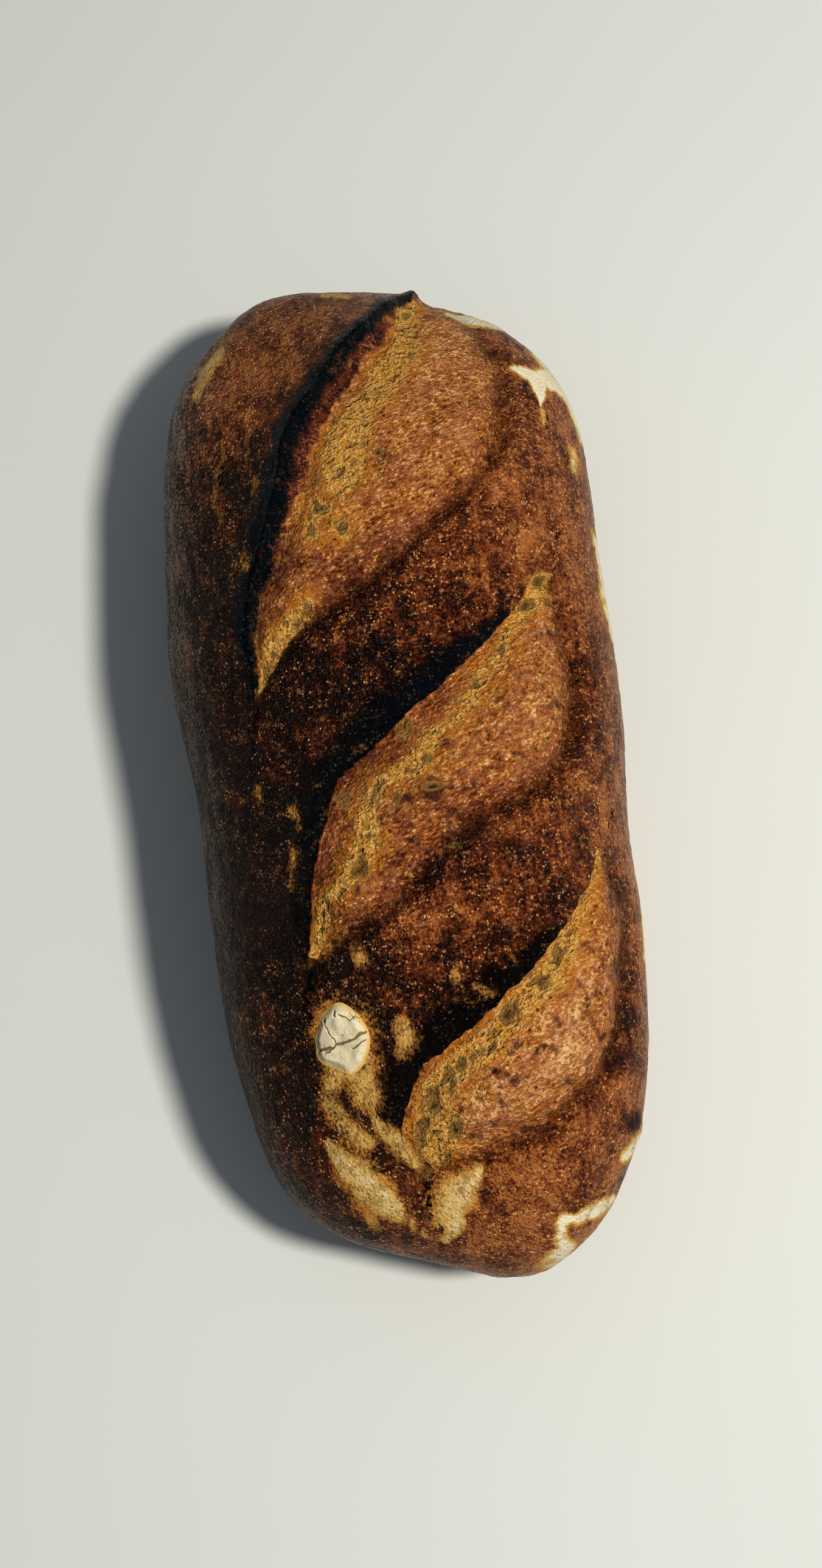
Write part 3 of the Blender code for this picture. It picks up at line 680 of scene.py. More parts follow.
def relief(points, sizes):
    """Slashes, crumb, pores and flour: the lift, the sideways move, and the marks that finishes follow."""
    flat = points * (1, 1, 0)
    wobble = sizes.wobble / MM
    plan = points[:, :2].copy()
    for axis in (0, 1):
        broad, close = lattice_noise(flat, 11, 20 + axis), lattice_noise(flat, 3.4, 22 + axis)
        plan[:, axis] += wobble * broad + 0.4 * wobble * close

    lift, shift = np.zeros(len(plan)), np.zeros_like(plan)
    marks = {"belly": np.full(len(plan), -LEAF_PARTING)}
    for slash in SLASHES:
        height, move, found = open_slash(slash, plan)
        lift += height
        shift += move
        for name, values in found.items():
            marks[name] = np.maximum(marks[name], values) if name in marks else values
    torn = smoothstep(-0.5, 1.2, marks["belly"]) * (1 - 0.7 * smoothstep(0, 1.5, marks["slope"]))

    crumb = np.max([strip_depth(strip, plan) for strip in CRUMB_STRIPS], axis=0)
    marks["crumb"] = np.where(marks["belly"] > -0.6, np.clip(crumb, -9, 4), -9)
    pore_depth, marks["pore"] = sink_pores(plan, np.random.default_rng(7))
    lift += pore_depth

    crumbly = smoothstep(-0.3, 0.8, crumb) * smoothstep(-0.5, 1.2, marks["belly"])
    lift -= 0.45 * crumbly
    lift += 0.55 * crumbly * lattice_noise(points, 1.7, 3) + 0.4 * crumbly * lattice_noise(points, 0.9, 4)

    fibre_along, fibre_across = turned(plan, (0, 0), PORE_ANGLE)
    fibres = np.stack([fibre_along / 3.2, fibre_across, points[:, 2]], axis=1)
    lift += torn * (0.22 * lattice_noise(fibres, 1.3, 5) + 0.3 * lattice_noise(fibres, 3.1, 6))
    whole = 1 - torn
    lift += torn * 0.5 * lattice_noise(points, 9, 8) + whole * 0.4 * lattice_noise(points, 17, 9)
    lift += 0.12 * whole * lattice_noise(points, 2.1, 10) + 0.16 * whole * lattice_noise(points, 4.5, 11)

    marks["char"] = np.maximum(marks["char"], mound(plan, *CHAR_BLOB_BLACK))
    crest = marks["char"] * smoothstep(0.3, 0.9, marks["char"])
    lift += crest * (0.35 * lattice_noise(points, 2.2, 12) + 0.2 * lattice_noise(points, 1.0, 13))
    lift += mound(plan, *EAR_HORN) + mound(plan, *CHAR_BLOB) * (1 + 0.5 * lattice_noise(points, 1.5, 14))

    flour = [amount * np.clip(1.6 * strip_field(stroke, plan), -1, 1) for stroke, amount in FLOUR_STROKES]
    marks["flour"] = np.max(flour, axis=0)
    lift += 0.18 * smoothstep(0.1, 0.8, marks["flour"])
    marks["gold"] = np.clip(np.max([strip_field(dash, plan) for dash in GOLD_DASHES], axis=0), -1, 1)
    lift += 0.15 * np.clip(marks["gold"], 0, 1)
    marks["bruise"] = np.sum([mound(plan, *bruise) for bruise in BRUISES], axis=0)
    # Baked colour and painted shade: darker towards the left flank, away from the light
    regions = np.sum([mound(plan, *region) for region in BAKE_AND_SHADE_REGIONS], axis=0)
    marks["baked"] = BAKE_AND_SHADE_MIDDLE - BAKE_AND_SHADE_FALL_RIGHT * plan[:, 0] + regions
    marks["torn"] = torn
    return lift, shift, marks


def clear_selection():
    """Nothing selected, in object mode."""
    if bpy.context.object and bpy.context.object.mode != "OBJECT":
        bpy.ops.object.mode_set(mode="OBJECT")
    bpy.ops.object.select_all(action="DESELECT")


def subdivided_cube(name, cells):
    """A cube from -1 to 1, cut into so many cells across, along and up."""
    clear_selection()
    bpy.ops.mesh.primitive_cube_add(size=2)
    cube = bpy.context.object
    cube.name = cube.data.name = name
    for axis, count in enumerate(cells):
        mesh = cube.data
        ends = np.empty(len(mesh.edges) * 2, int)
        mesh.edges.foreach_get("vertices", ends)
        places = np.empty(len(mesh.vertices) * 3)
        mesh.vertices.foreach_get("co", places)
        level = places.reshape(-1, 3)[ends.reshape(-1, 2), axis]
        for domain in (mesh.vertices, mesh.edges, mesh.polygons):
            domain.foreach_set("select", np.zeros(len(domain), bool))
        mesh.edges.foreach_set("select", np.abs(level[:, 0] - level[:, 1]) > 1)
        bpy.ops.object.mode_set(mode="EDIT")
        bpy.ops.mesh.select_mode(type="EDGE")
        bpy.ops.mesh.subdivide(number_cuts=count - 1)
        bpy.ops.object.mode_set(mode="OBJECT")
    return cube


def vertex_places(mesh):
    """The mesh's vertices as an array."""
    places = np.empty(len(mesh.vertices) * 3, np.float32)
    mesh.vertices.foreach_get("co", places)
    return places.reshape(-1, 3).astype(float)


def vertex_directions(mesh):
    """The mesh's vertex normals as an array."""
    directions = np.empty(len(mesh.vertices) * 3, np.float32)
    mesh.vertex_normals.foreach_get("vector", directions)
    return directions.reshape(-1, 3).astype(float)


def set_places(mesh, places):
    """Moves the mesh's vertices, and returns their new normals."""
    mesh.vertices.foreach_set("co", places.astype(np.float32).ravel())
    mesh.update()
    return vertex_directions(mesh)


def apply_modifier(piece, kind, **settings):
    """Adds a modifier with these settings and applies it."""
    modifier = piece.modifiers.new(kind.title(), kind)
    for name, value in settings.items():
        setattr(modifier, name, value)
    bpy.context.view_layer.objects.active = piece
    bpy.ops.object.modifier_apply(modifier=modifier.name)


def weigh(piece, name, weights, levels=12):
    """A vertex group whose weights follow an array, in even steps."""
    group = piece.vertex_groups.new(name=name)
    steps = np.rint(weights * levels).astype(int)
    for step in range(1, levels + 1):
        chosen = np.flatnonzero(steps == step)
        group.add(chosen.tolist(), step / levels, "REPLACE")
    return group


def grain_texture(name, kind, size, **settings):
    """A Displace modifier's texture with lumps of one size."""
    texture = bpy.data.textures.new(name, kind)
    texture.noise_scale = size
    for key, value in settings.items():
        setattr(texture, key, value)
    return texture


def join_base(loaf):
    """Makes the flat base one face, as nothing shows on it."""
    mesh = loaf.data
    clear_selection()
    loaf.select_set(True)
    bpy.context.view_layer.objects.active = loaf
    heights = vertex_places(mesh)[:, 2]
    level = [max(heights[list(face.vertices)]) < 1e-4 for face in mesh.polygons]
    for domain in (mesh.vertices, mesh.edges):
        domain.foreach_set("select", np.zeros(len(domain), bool))
    mesh.polygons.foreach_set("select", level)
    bpy.ops.object.mode_set(mode="EDIT")
    bpy.ops.mesh.select_mode(type="FACE")
    bpy.ops.mesh.dissolve_faces()
    bpy.ops.object.mode_set(mode="OBJECT")


def shape_loaf(sizes):
    """The loaf as one closed mesh that carries the marks its crust's finish follows."""
    cells = (sizes.cells_across, sizes.cells_along, sizes.cells_up)
    loaf = subdivided_cube("crusty_loaf", cells)
    mesh = loaf.data
    set_places(mesh, dome_points(vertex_places(mesh), sizes))
    join_base(loaf)
    points, normals = vertex_places(mesh), vertex_directions(mesh)
    widest = sizes.widest_level / MM
    points = draw_to_ears(points, normals, smoothstep(widest, widest + 8, points[:, 2]))
    normals = set_places(mesh, points)
    points += normals * swelling_heights(points, widest)[:, None]
    normals = set_places(mesh, points)

    upper = smoothstep(widest - 12, widest + 4, points[:, 2])
    slashed = smoothstep(widest, widest + 8, points[:, 2])
    lift, shift, marks = relief(points, sizes)
    off_base = smoothstep(0.5, 5, points[:, 2])
    low_lumps = 0.5 * lattice_noise(points, 14, 30) + 0.25 * lattice_noise(points, 5, 31)
    points += normals * (lift * slashed + low_lumps * (1 - slashed) * off_base)[:, None]
    points[:, :2] += shift * slashed[:, None]
    points[:, 2] = np.maximum(points[:, 2], 0)
    loaf["shift"] = frame_shift(points)
    set_places(mesh, (points + (*loaf["shift"], 0)) * MM)

    flour_level = points[:, 2] + 11 * lattice_noise(points, 9, 33)
    flour_level += 7 * lattice_noise(points, 4, 34)
    floured = smoothstep(30, 46, flour_level)
    for name, values in marks.items():
        if name in ("belly", "slope", "crumb", "pore"):
            values = values - LEAF_PARTING * (1 - upper)
        elif name in ("flour", "gold"):
            values = values - 2 * (1 - floured)
        elif name != "baked":
            values = values * upper
        mesh.attributes.new(name, "FLOAT", "POINT").data.foreach_set("value", values.astype(np.float32))
    weigh(loaf, "crust", (1 - marks["torn"]) * off_base)
    weigh(loaf, "torn", marks["torn"] * off_base * upper)
    grain = {"mid_level": 0.5, "texture_coords": "LOCAL"}
    lumps = grain_texture("crust_lumps", "CLOUDS", 1.9 * MM, noise_depth=2)
    apply_modifier(loaf, "DISPLACE", texture=lumps, strength=sizes.crust_grain, vertex_group="crust", **grain)
    fibres = grain_texture("torn_fibres", "CLOUDS", 1.2 * MM, noise_depth=3)
    apply_modifier(loaf, "DISPLACE", texture=fibres, strength=sizes.torn_grain, vertex_group="torn", **grain)
    loaf.vertex_groups.clear()
    faces = sum(face.loop_total - 2 for face in mesh.polygons)
    if faces > sizes.triangles:
        apply_modifier(loaf, "DECIMATE", ratio=sizes.triangles / faces)
    mesh.shade_smooth()
    return loaf


def frame_shift(points):
    """How far the dough's plan, in millimetres, moves so that its middle lies where the solid's does."""
    low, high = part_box("loaf")
    middle = [(low[axis] + high[axis]) / 2 / MM for axis in (0, 1)]
    return np.array(middle) - (points[:, :2].min(axis=0) + points[:, :2].max(axis=0)) / 2


class Shader:
    """Adds nodes to a shader tree. A socket given for an input is joined to it, and a value is set on it."""

    def __init__(self, tree):
        self.tree = tree

    def node(self, kind, inputs=None, **settings):
        made = self.tree.nodes.new("ShaderNode" + kind)
        for name, value in settings.items():
            setattr(made, name, value)
        for socket, value in (inputs or {}).items():
            if isinstance(value, bpy.types.NodeSocket):
                self.tree.links.new(value, made.inputs[socket])
            else:
                made.inputs[socket].default_value = value
        return made

    def mark(self, name):
        """A mark that the mesh carries."""
        return self.node("Attribute", attribute_name=name).outputs["Fac"]

    def noise(self, where, size, detail=3.0, roughness=0.55):
        """Soft lumps of one size, from 0 to 1."""
        inputs = {"Vector": where, "Scale": 1 / size, "Detail": detail, "Roughness": roughness}
        return self.node("TexNoise", inputs).outputs[0]

    def cells(self, where, size):
        """Scattered cells of one size: the distance to each cell's middle, and its random colour."""
        return self.node("TexVoronoi", {"Vector": where, "Scale": 1 / size}).outputs

    def sum(self, a, b, operation="ADD"):
        return self.node("Math", {0: a, 1: b}, operation=operation).outputs[0]

    def times(self, a, b):
        return self.sum(a, b, "MULTIPLY")

    def less(self, a, b):
        return self.sum(a, b, "SUBTRACT")

    def opposite(self, value):
        return self.less(1.0, value)

    def step(self, value, low, high):
        """0 at low, 1 at high, and a smooth S between them."""
        inputs = {"Value": value, "From Min": low, "From Max": high}
        return self.node("MapRange", inputs, interpolation_type="SMOOTHSTEP").outputs[0]

    def mix(self, share, a, b, blend_type="MIX"):
        """Colour a turning to colour b."""
        made = self.node("Mix", data_type="RGBA", blend_type=blend_type)
        for index, value in ((0, share), (6, a), (7, b)):
            if isinstance(value, bpy.types.NodeSocket):
                self.tree.links.new(value, made.inputs[index])
            else:
                made.inputs[index].default_value = value if index == 0 else (*value, 1)
        return made.outputs[2]

    def stray(self, value, noise, amount):
        """A value moved up and down by a noise that runs from 0 to 1."""
        return self.sum(value, self.times(self.less(noise, 0.5), amount))

    def ramp(self, value, *stops):
        """A colour for each value, given as places and colours."""
        made = self.node("ValToRGB", {"Fac": value})
        points = made.color_ramp.elements
        while len(points) < len(stops):
            points.new(0.5)
        for point, (place, colour) in zip(points, stops):
            point.position = place
            point.color = (*colour, 1)
        return made.outputs["Color"]


def new_group(name, inputs, outputs):
    """An empty shader node group with named sockets: its helper, its inputs and its output node."""
    group = bpy.data.node_groups.new(name, "ShaderNodeTree")
    for socket, (kind, default) in inputs.items():
        made = group.interface.new_socket(socket, in_out="INPUT", socket_type="NodeSocket" + kind)
        if default is not None:
            made.default_value = default
    for socket, kind in outputs.items():
        group.interface.new_socket(socket, in_out="OUTPUT", socket_type="NodeSocket" + kind)
    shader = Shader(group)
    return shader, group.nodes.new("NodeGroupInput").outputs, group.nodes.new("NodeGroupOutput").inputs


def ragged_edge_group():
    """A mask whose edge is broken up by noise, as flour, char and torn dough end."""
    shader, given, out = new_group(
        "Ragged Edge",
        {"Position": ("Vector", None), "Field": ("Float", 0.0), "Low": ("Float", 0.2), "High": ("Float", 0.5),
         "Raggedness": ("Float", 0.6), "Size": ("Float", 0.002)},
        {"Mask": "Float"},
    )
    scale = shader.sum(1.0, given["Size"], "DIVIDE")
    inputs = {"Vector": given["Position"], "Scale": scale, "Detail": 4.0, "Roughness": 0.62}
    noise = shader.node("TexNoise", inputs)
    strayed = shader.times(shader.less(noise.outputs[0], 0.5), given["Raggedness"])
    field = shader.sum(given["Field"], strayed)
    shader.tree.links.new(shader.step(field, given["Low"], given["High"]), out["Mask"])
    return shader.tree


def blister_group():
    """Tiny blisters: their height, and which of them baked pale."""
    shader, given, out = new_group(
        "Fine Blisters",
        {"Position": ("Vector", None), "Size": ("Float", 0.0008), "Pale Share": ("Float", 0.3)},
        {"Height": "Float", "Pale": "Float", "Random": "Float"},
    )
    scale = shader.sum(1.0, given["Size"], "DIVIDE")
    bend = shader.node("TexNoise", {"Vector": given["Position"], "Scale": scale, "Detail": 1.0})
    offset = shader.node("VectorMath", {0: bend.outputs["Color"], 3: 0.0006}, operation="SCALE")
    where = shader.node("VectorMath", {0: given["Position"], 1: offset.outputs[0]}, operation="ADD")
    cells = shader.node("TexVoronoi", {"Vector": where.outputs[0], "Scale": scale}).outputs
    random = shader.node("SeparateColor", {0: cells["Color"]}).outputs[0]
    dome = shader.opposite(shader.step(cells["Distance"], 0.05, 0.62))
    limit = shader.opposite(given["Pale Share"])
    pale = shader.step(random, limit, shader.sum(limit, 0.14))
    links = shader.tree.links
    links.new(dome, out["Height"])
    links.new(shader.times(pale, shader.opposite(shader.step(cells["Distance"], 0.2, 0.6))), out["Pale"])
    links.new(random, out["Random"])
    return shader.tree


def place_group(shader, group, **inputs):
    """Places a node group with its own values, and returns its outputs."""
    node = shader.tree.nodes.new("ShaderNodeGroup")
    node.node_tree = group
    for name, value in inputs.items():
        socket = node.inputs[name.replace("_", " ")]
        if isinstance(value, bpy.types.NodeSocket):
            shader.tree.links.new(value, socket)
        else:
            socket.default_value = value
    return node.outputs


def ragged_mask(shader, ragged, where, field, low, high, raggedness, size):
    """Where a field rises from low to high, with an edge that noise breaks up."""
    inputs = {"Position": where, "Field": field, "Low": low, "High": high}
    return place_group(shader, ragged, **inputs, Raggedness=raggedness, Size=size)["Mask"]


def colour_values(colours):
    """The panel's colours as plain numbers."""
    return {key: tuple(getattr(colours, key)) for key in COLOURS}


def new_material(name):
    """An empty material with its Principled shader: the helper and the shader."""
    material = bpy.data.materials.new(name)
    material.use_nodes = True
    shader = Shader(material.node_tree)
    return material, shader, material.node_tree.nodes["Principled BSDF"]


def join(shader, surface, sockets):
    """Joins or sets the Principled shader's own sockets."""
    for name, value in sockets.items():
        if isinstance(value, bpy.types.NodeSocket):
            shader.tree.links.new(value, surface.inputs[name])
        else:
            surface.inputs[name].default_value = value


def shared_fields(shader):
    """The places, noises and marks that several layers of the finish read."""
    where = shader.node("TexCoord").outputs["Object"]
    turn = {"Vector": where, "Rotation": (0, 0, FIBRE_ANGLE), "Scale": (FIBRE_STRETCH, 1, 1)}
    field = {name: shader.mark(name) for name in MARKS}
    field["where"] = where
    field["stretched"] = shader.node("Mapping", turn, vector_type="TEXTURE").outputs[0]
    field["across"], field["along"], field["height"] = shader.node("SeparateXYZ", {0: where}).outputs
    stretch = {"Vector": where, "Scale": (1, 5, 2)}
    lengthwise = shader.node("Mapping", stretch, vector_type="TEXTURE").outputs[0]
    field["streaks"] = shader.noise(lengthwise, 3.0 * MM, 4, 0.6)
    field["broad"] = shader.noise(where, 40 * MM, 3, 0.5)
    field["patchy"] = shader.noise(where, 9 * MM, 4, 0.6)
    field["mottled"] = shader.noise(where, 3.2 * MM, 4, 0.65)
    field["fine"] = shader.noise(where, 0.9 * MM, 3, 0.65)
    return field


def crust_layer(shader, c, field, blisters):
    """Crust from purple-brown to orange-brown, with amber glints painted in as highlights, and golden specks:
    its colour, height, gloss and the cells of the painted glints."""
    grain = place_group(shader, blisters, Position=field["where"], Size=0.72 * MM, Pale_Share=0.34)
    small = place_group(shader, blisters, Position=field["where"], Size=1.1 * MM, Pale_Share=0.10)
    specks = place_group(shader, blisters, Position=field["where"], Size=1.8 * MM, Pale_Share=0.11)
    # Darker where the crust baked darker, and painted shade towards the left flank
    tone = shader.less(0.78, shader.times(field["baked"], 0.62))
    for name, amount in (("broad", 0.5), ("streaks", 0.8), ("patchy", 1.0), ("mottled", 0.7), ("fine", 1.0)):
        tone = shader.stray(tone, field[name], amount)
    tone = shader.stray(tone, grain["Random"], 0.2)
    tone = shader.stray(tone, small["Random"], 0.12)
    # Darker where scorched and bruised, and with painted shade along the valleys
    for name, amount in (("scorch", 0.36), ("crease", 0.16), ("bruise", 0.12)):
        tone = shader.less(tone, shader.times(field[name], amount))
    colour = shader.ramp(
        tone, (0.05, c["crust_darkest"]), (0.30, c["crust_dark"]), (0.54, c["crust_red"]),
        (0.84, c["crust_light"]),
    )
    # Painted highlight: amber glints on the lighter crust, in streaky clusters of the fine cells
    lively = shader.step(tone, -0.1, 0.4)
    clustered = shader.step(shader.noise(field["stretched"], 2.6 * MM, 3, 0.6), 0.40, 0.60)
    painted_glints = shader.times(shader.times(grain["Pale"], clustered), lively)
    colour = shader.mix(shader.times(painted_glints, 0.75), colour, c["painted_glint"])
    colour = shader.mix(shader.times(shader.times(specks["Pale"], 0.6), lively), colour, c["speck"])
    height = shader.sum(shader.times(small["Height"], 0.42), shader.times(grain["Height"], 0.22))
    height = shader.sum(height, shader.times(specks["Pale"], 0.12))
    return colour, height, shader.times(grain["Random"], 0.14), grain["Pale"]


def torn_layer(shader, c, field, blisters):
    """The torn dough, orange to rosy brown, finely ridged and flecked: colour and height."""
    fibre = shader.noise(field["stretched"], 0.85 * MM, 3, 0.7)
    strand = shader.noise(field["stretched"], 2.0 * MM, 4, 0.65)
    fleck = place_group(shader, blisters, Position=field["stretched"], Size=0.72 * MM, Pale_Share=0.42)
    blotch = place_group(shader, blisters, Position=field["where"], Size=2.4 * MM, Pale_Share=0.09)
    tone = shader.stray(0.60, fibre, 1.7)
    tone = shader.stray(tone, strand, 1.0)
    tone = shader.stray(tone, field["patchy"], 0.7)
    tone = shader.stray(tone, fleck["Random"], 0.16)
    # Baked colour and painted shade: the torn dough darker towards the left
    tone = shader.less(tone, shader.times(shader.less(field["baked"], 0.44), 0.45))
    # Darker where scorched and bruised, and with painted shade along the valleys
    for name, amount in (("scorch", 0.42), ("crease", 0.26), ("bruise", 0.16)):
        tone = shader.less(tone, shader.times(field[name], amount))
    colour = shader.ramp(
        tone, (0.05, c["torn_darkest"]), (0.30, c["torn_dark"]), (0.52, c["torn_mid"]),
        (0.76, c["torn_light"]), (1.0, c["torn_pale"]),
    )
    rosy = shader.step(shader.noise(field["where"], 7 * MM, 5, 0.7), 0.43, 0.58)
    colour = shader.mix(shader.times(rosy, 0.40), colour, c["torn_rosy"])
    near_crumb = shader.stray(field["crumb"], field["patchy"], 10.0)
    colour = shader.mix(shader.times(shader.step(near_crumb, -6.0, 1.0), 0.5), colour, c["torn_yellow"])
    # Pale flecks on the lit ridges: partly the dough's own pale flecks, partly painted highlight
    lit = shader.times(shader.step(strand, 0.36, 0.60), shader.step(tone, 0.1, 0.5))
    colour = shader.mix(shader.times(shader.times(fleck["Pale"], lit), 0.85), colour, c["torn_pale"])
    colour = shader.mix(shader.times(blotch["Pale"], 0.3), colour, c["torn_pale"])
    web = shader.sum(shader.less(strand, 0.47), 0.0, "ABSOLUTE")
    threads = shader.times(shader.step(web, 0.020, 0.004), shader.step(field["mottled"], 0.44, 0.62))
    colour = shader.mix(shader.times(threads, 0.5), colour, c["torn_dark"])
    # Small pits sunk in the torn dough, darkened inside with painted shade
    shaded_pits = shader.cells(field["where"], 3.6 * MM)
    chosen = shader.step(shader.node("SeparateColor", {0: shaded_pits["Color"]}).outputs[0], 0.70, 0.74)
    shaded_pits = shader.times(shader.step(shaded_pits["Distance"], 0.15, 0.10), chosen)
    colour = shader.mix(shader.times(shaded_pits, 0.8), colour, c["torn_darkest"])
    height = shader.sum(shader.times(fibre, 1.5), shader.times(strand, 1.8))
    height = shader.less(height, shader.times(shaded_pits, 0.5))
    return colour, shader.sum(height, shader.times(fleck["Height"], 0.14))


def crumb_layer(shader, c, field, ragged):
    """Open crumb: pale strands round olive hollows of two sizes. Its mask, colour and height."""
    mask = ragged_mask(
        shader, ragged, field["where"], field["crumb"], low=-0.5, high=0.5, raggedness=5.0, size=3.6 * MM
    )
    colour = shader.mix(shader.step(field["mottled"], 0.42, 0.62), c["torn_yellow"], c["crumb"])
    colour = shader.mix(shader.step(field["fine"], 0.42, 0.62), colour, c["crumb_pale"])
    height = shader.times(field["fine"], 0.6)
    for size, depth in ((3.0 * MM, 0.9), (1.1 * MM, 0.5)):
        hollow = shader.step(shader.noise(field["stretched"], size, 2, 0.5), 0.56, 0.66)
        colour = shader.mix(shader.times(hollow, 0.7), colour, c["pore"])
        height = shader.less(height, shader.times(hollow, depth))
    return mask, colour, height


def flour_layer(shader, c, field, ragged):
    """Flour baked onto the crust, golden where thin and cream where thick: its mask and colour."""
    stippled = shader.stray(field["flour"], field["fine"], 1.6)
    mask = ragged_mask(
        shader, ragged, field["where"], stippled, low=-0.2, high=0.8, raggedness=2.6, size=6 * MM
    )
    grainy = shader.stray(shader.sum(field["fine"], field["mottled"]), field["patchy"], 0.6)
    worn = shader.step(grainy, 0.80, 1.06)
    mask = shader.times(mask, shader.sum(0.68, shader.times(worn, 0.32)))
    thick = shader.step(shader.stray(field["flour"], field["mottled"], 1.2), 0.25, 1.0)
    colour = shader.mix(thick, c["flour_thin"], c["flour_thick"])
    white = shader.step(shader.stray(field["flour"], field["mottled"], 0.8), 0.95, 1.35)
    return shader.sum(mask, white, "MAXIMUM"), shader.mix(white, colour, c["flour_white"])


def crust_material(colours, ragged, blisters):
    """The whole loaf's finish: crust, torn dough, crumb, pores, char and flour, each where its mark lies."""
    material, shader, surface = new_material("dark_baked_crust")
    c = colour_values(colours)
    field = shared_fields(shader)
    where = field["where"]
    crust, crust_height, gloss, glint_cells = crust_layer(shader, c, field, blisters)
    torn, torn_height = torn_layer(shader, c, field, blisters)
    torn_mask = ragged_mask(
        shader, ragged, where, field["belly"], low=-0.45, high=0.6, raggedness=1.6, size=1.8 * MM
    )
    colour = shader.mix(torn_mask, crust, torn)
    slope_mask = ragged_mask(
        shader, ragged, where, field["slope"], low=0.0, high=1.0, raggedness=5.0, size=3.6 * MM
    )
    slope = shader.mix(shader.step(field["mottled"], 0.40, 0.66), c["purple"], c["torn_dark"])
    rosy = shader.step(shader.stray(field["fine"], field["patchy"], 0.5), 0.46, 0.74)
    slope = shader.mix(rosy, slope, c["torn_rosy"])
    colour = shader.mix(slope_mask, colour, slope)
    bruised = shader.step(shader.stray(field["bruise"], field["mottled"], 0.7), 0.25, 1.0)
    colour = shader.mix(shader.times(bruised, 0.72), colour, c["purple"])
    crumb_mask, crumb, crumb_height = crumb_layer(shader, c, field, ragged)
    crumb_mask = shader.times(crumb_mask, shader.opposite(shader.step(field["bruise"], 0.5, 1.0)))
    colour = shader.mix(shader.times(crumb_mask, 0.92), colour, crumb)
    torn_height = shader.sum(torn_height, shader.times(crumb_height, crumb_mask))

    gold = shader.stray(shader.stray(field["gold"], field["mottled"], 3.2), field["fine"], 1.6)
    colour = shader.mix(shader.times(shader.step(gold, -0.2, 1.0), 0.6), colour, c["flour_thin"])
    rim = shader.times(shader.step(field["pore"], -0.32, -0.06), torn_mask)
    colour = shader.mix(shader.times(rim, 0.22), colour, c["crumb_pale"])
    # Pores: olive crumb colour, darkening to painted shade in the deeper ones
    pore_field = shader.stray(field["pore"], field["fine"], 0.8)
    pore = shader.mix(shader.step(pore_field, 0.38, 0.85), c["pore"], c["pore_deep_shade"])
    colour = shader.mix(shader.times(shader.step(pore_field, -0.03, 0.16), 0.85), colour, pore)
    # The black band of the ears: char, and painted shade on their backs, away from the light
    black_band = shader.stray(field["char"], field["fine"], 1.0)
    char_and_shade_mask = ragged_mask(
        shader, ragged, where, black_band, low=0.15, high=1.0, raggedness=1.9, size=2.6 * MM
    )
    # Painted reflection: a blue sheen on the char towards the full end, brown-black towards the narrow end
    painted_blue_sheen = shader.step(shader.stray(field["along"], field["patchy"], 90 * MM), -60 * MM, 60 * MM)
    char = shader.mix(painted_blue_sheen, c["char_brown"], c["char"])
    # Painted highlight: pale glints on the char, in the crust's glint cells
    char = shader.mix(shader.times(glint_cells, shader.step(field["mottled"], 0.42, 0.56)), char, c["char_painted_glint"])
    colour = shader.mix(char_and_shade_mask, colour, char)
    flour_mask, flour = flour_layer(shader, c, field, ragged)
    colour = shader.mix(flour_mask, colour, flour)

    # Dust and painted sheen: pale streaky flecks high on the left flank, which lies in shade
    dust_and_sheen = shader.times(
        shader.step(field["height"], 74 * MM, 44 * MM), shader.step(field["across"], -26 * MM, -52 * MM)
    )
    dust_and_sheen = shader.times(dust_and_sheen, shader.step(field["along"], -90 * MM, 10 * MM))
    dust_and_sheen = shader.times(dust_and_sheen, shader.step(shader.stray(field["fine"], field["streaks"], 0.8), 0.50, 0.60))
    colour = shader.mix(dust_and_sheen, colour, c["dust_and_sheen"])
    low_down = shader.step(shader.stray(field["height"], field["patchy"], 24 * MM), 28 * MM, 6 * MM)
    dusty = shader.times(low_down, shader.step(shader.stray(field["broad"], field["fine"], 0.8), 0.5, 0.75))
    colour = shader.mix(shader.times(low_down, 0.35), colour, c["crust_light"])
    colour = shader.mix(shader.times(dusty, 0.5), colour, c["flour_thick"])

    floury = shader.sum(flour_mask, dusty, "MAXIMUM")
    rough = shader.less(shader.less(0.30, gloss), shader.times(char_and_shade_mask, 0.04))
    for mask, amount in ((torn_mask, 0.12), (crumb_mask, 0.12), (floury, 0.35)):
        rough = shader.sum(rough, shader.times(mask, amount))
    bumps = shader.node("Mix", {0: torn_mask, 2: crust_height, 3: torn_height}).outputs[0]
    bumps = shader.sum(bumps, shader.times(field["fine"], 0.8))
    bumps = shader.sum(bumps, shader.times(field["fine"], char_and_shade_mask))
    bumps = shader.times(bumps, shader.opposite(shader.times(floury, 0.6)))
    normal = shader.node("Bump", {"Height": bumps, "Distance": MM, "Strength": 1.0}).outputs[0]
    finish = {
        "Base Color": colour, "Roughness": rough, "Normal": normal, "Metallic": 0.0,
        "Specular IOR Level": 0.28, "Specular Tint": (1.0, 0.86, 0.70, 1.0),
    }
    join(shader, surface, finish)
    return material


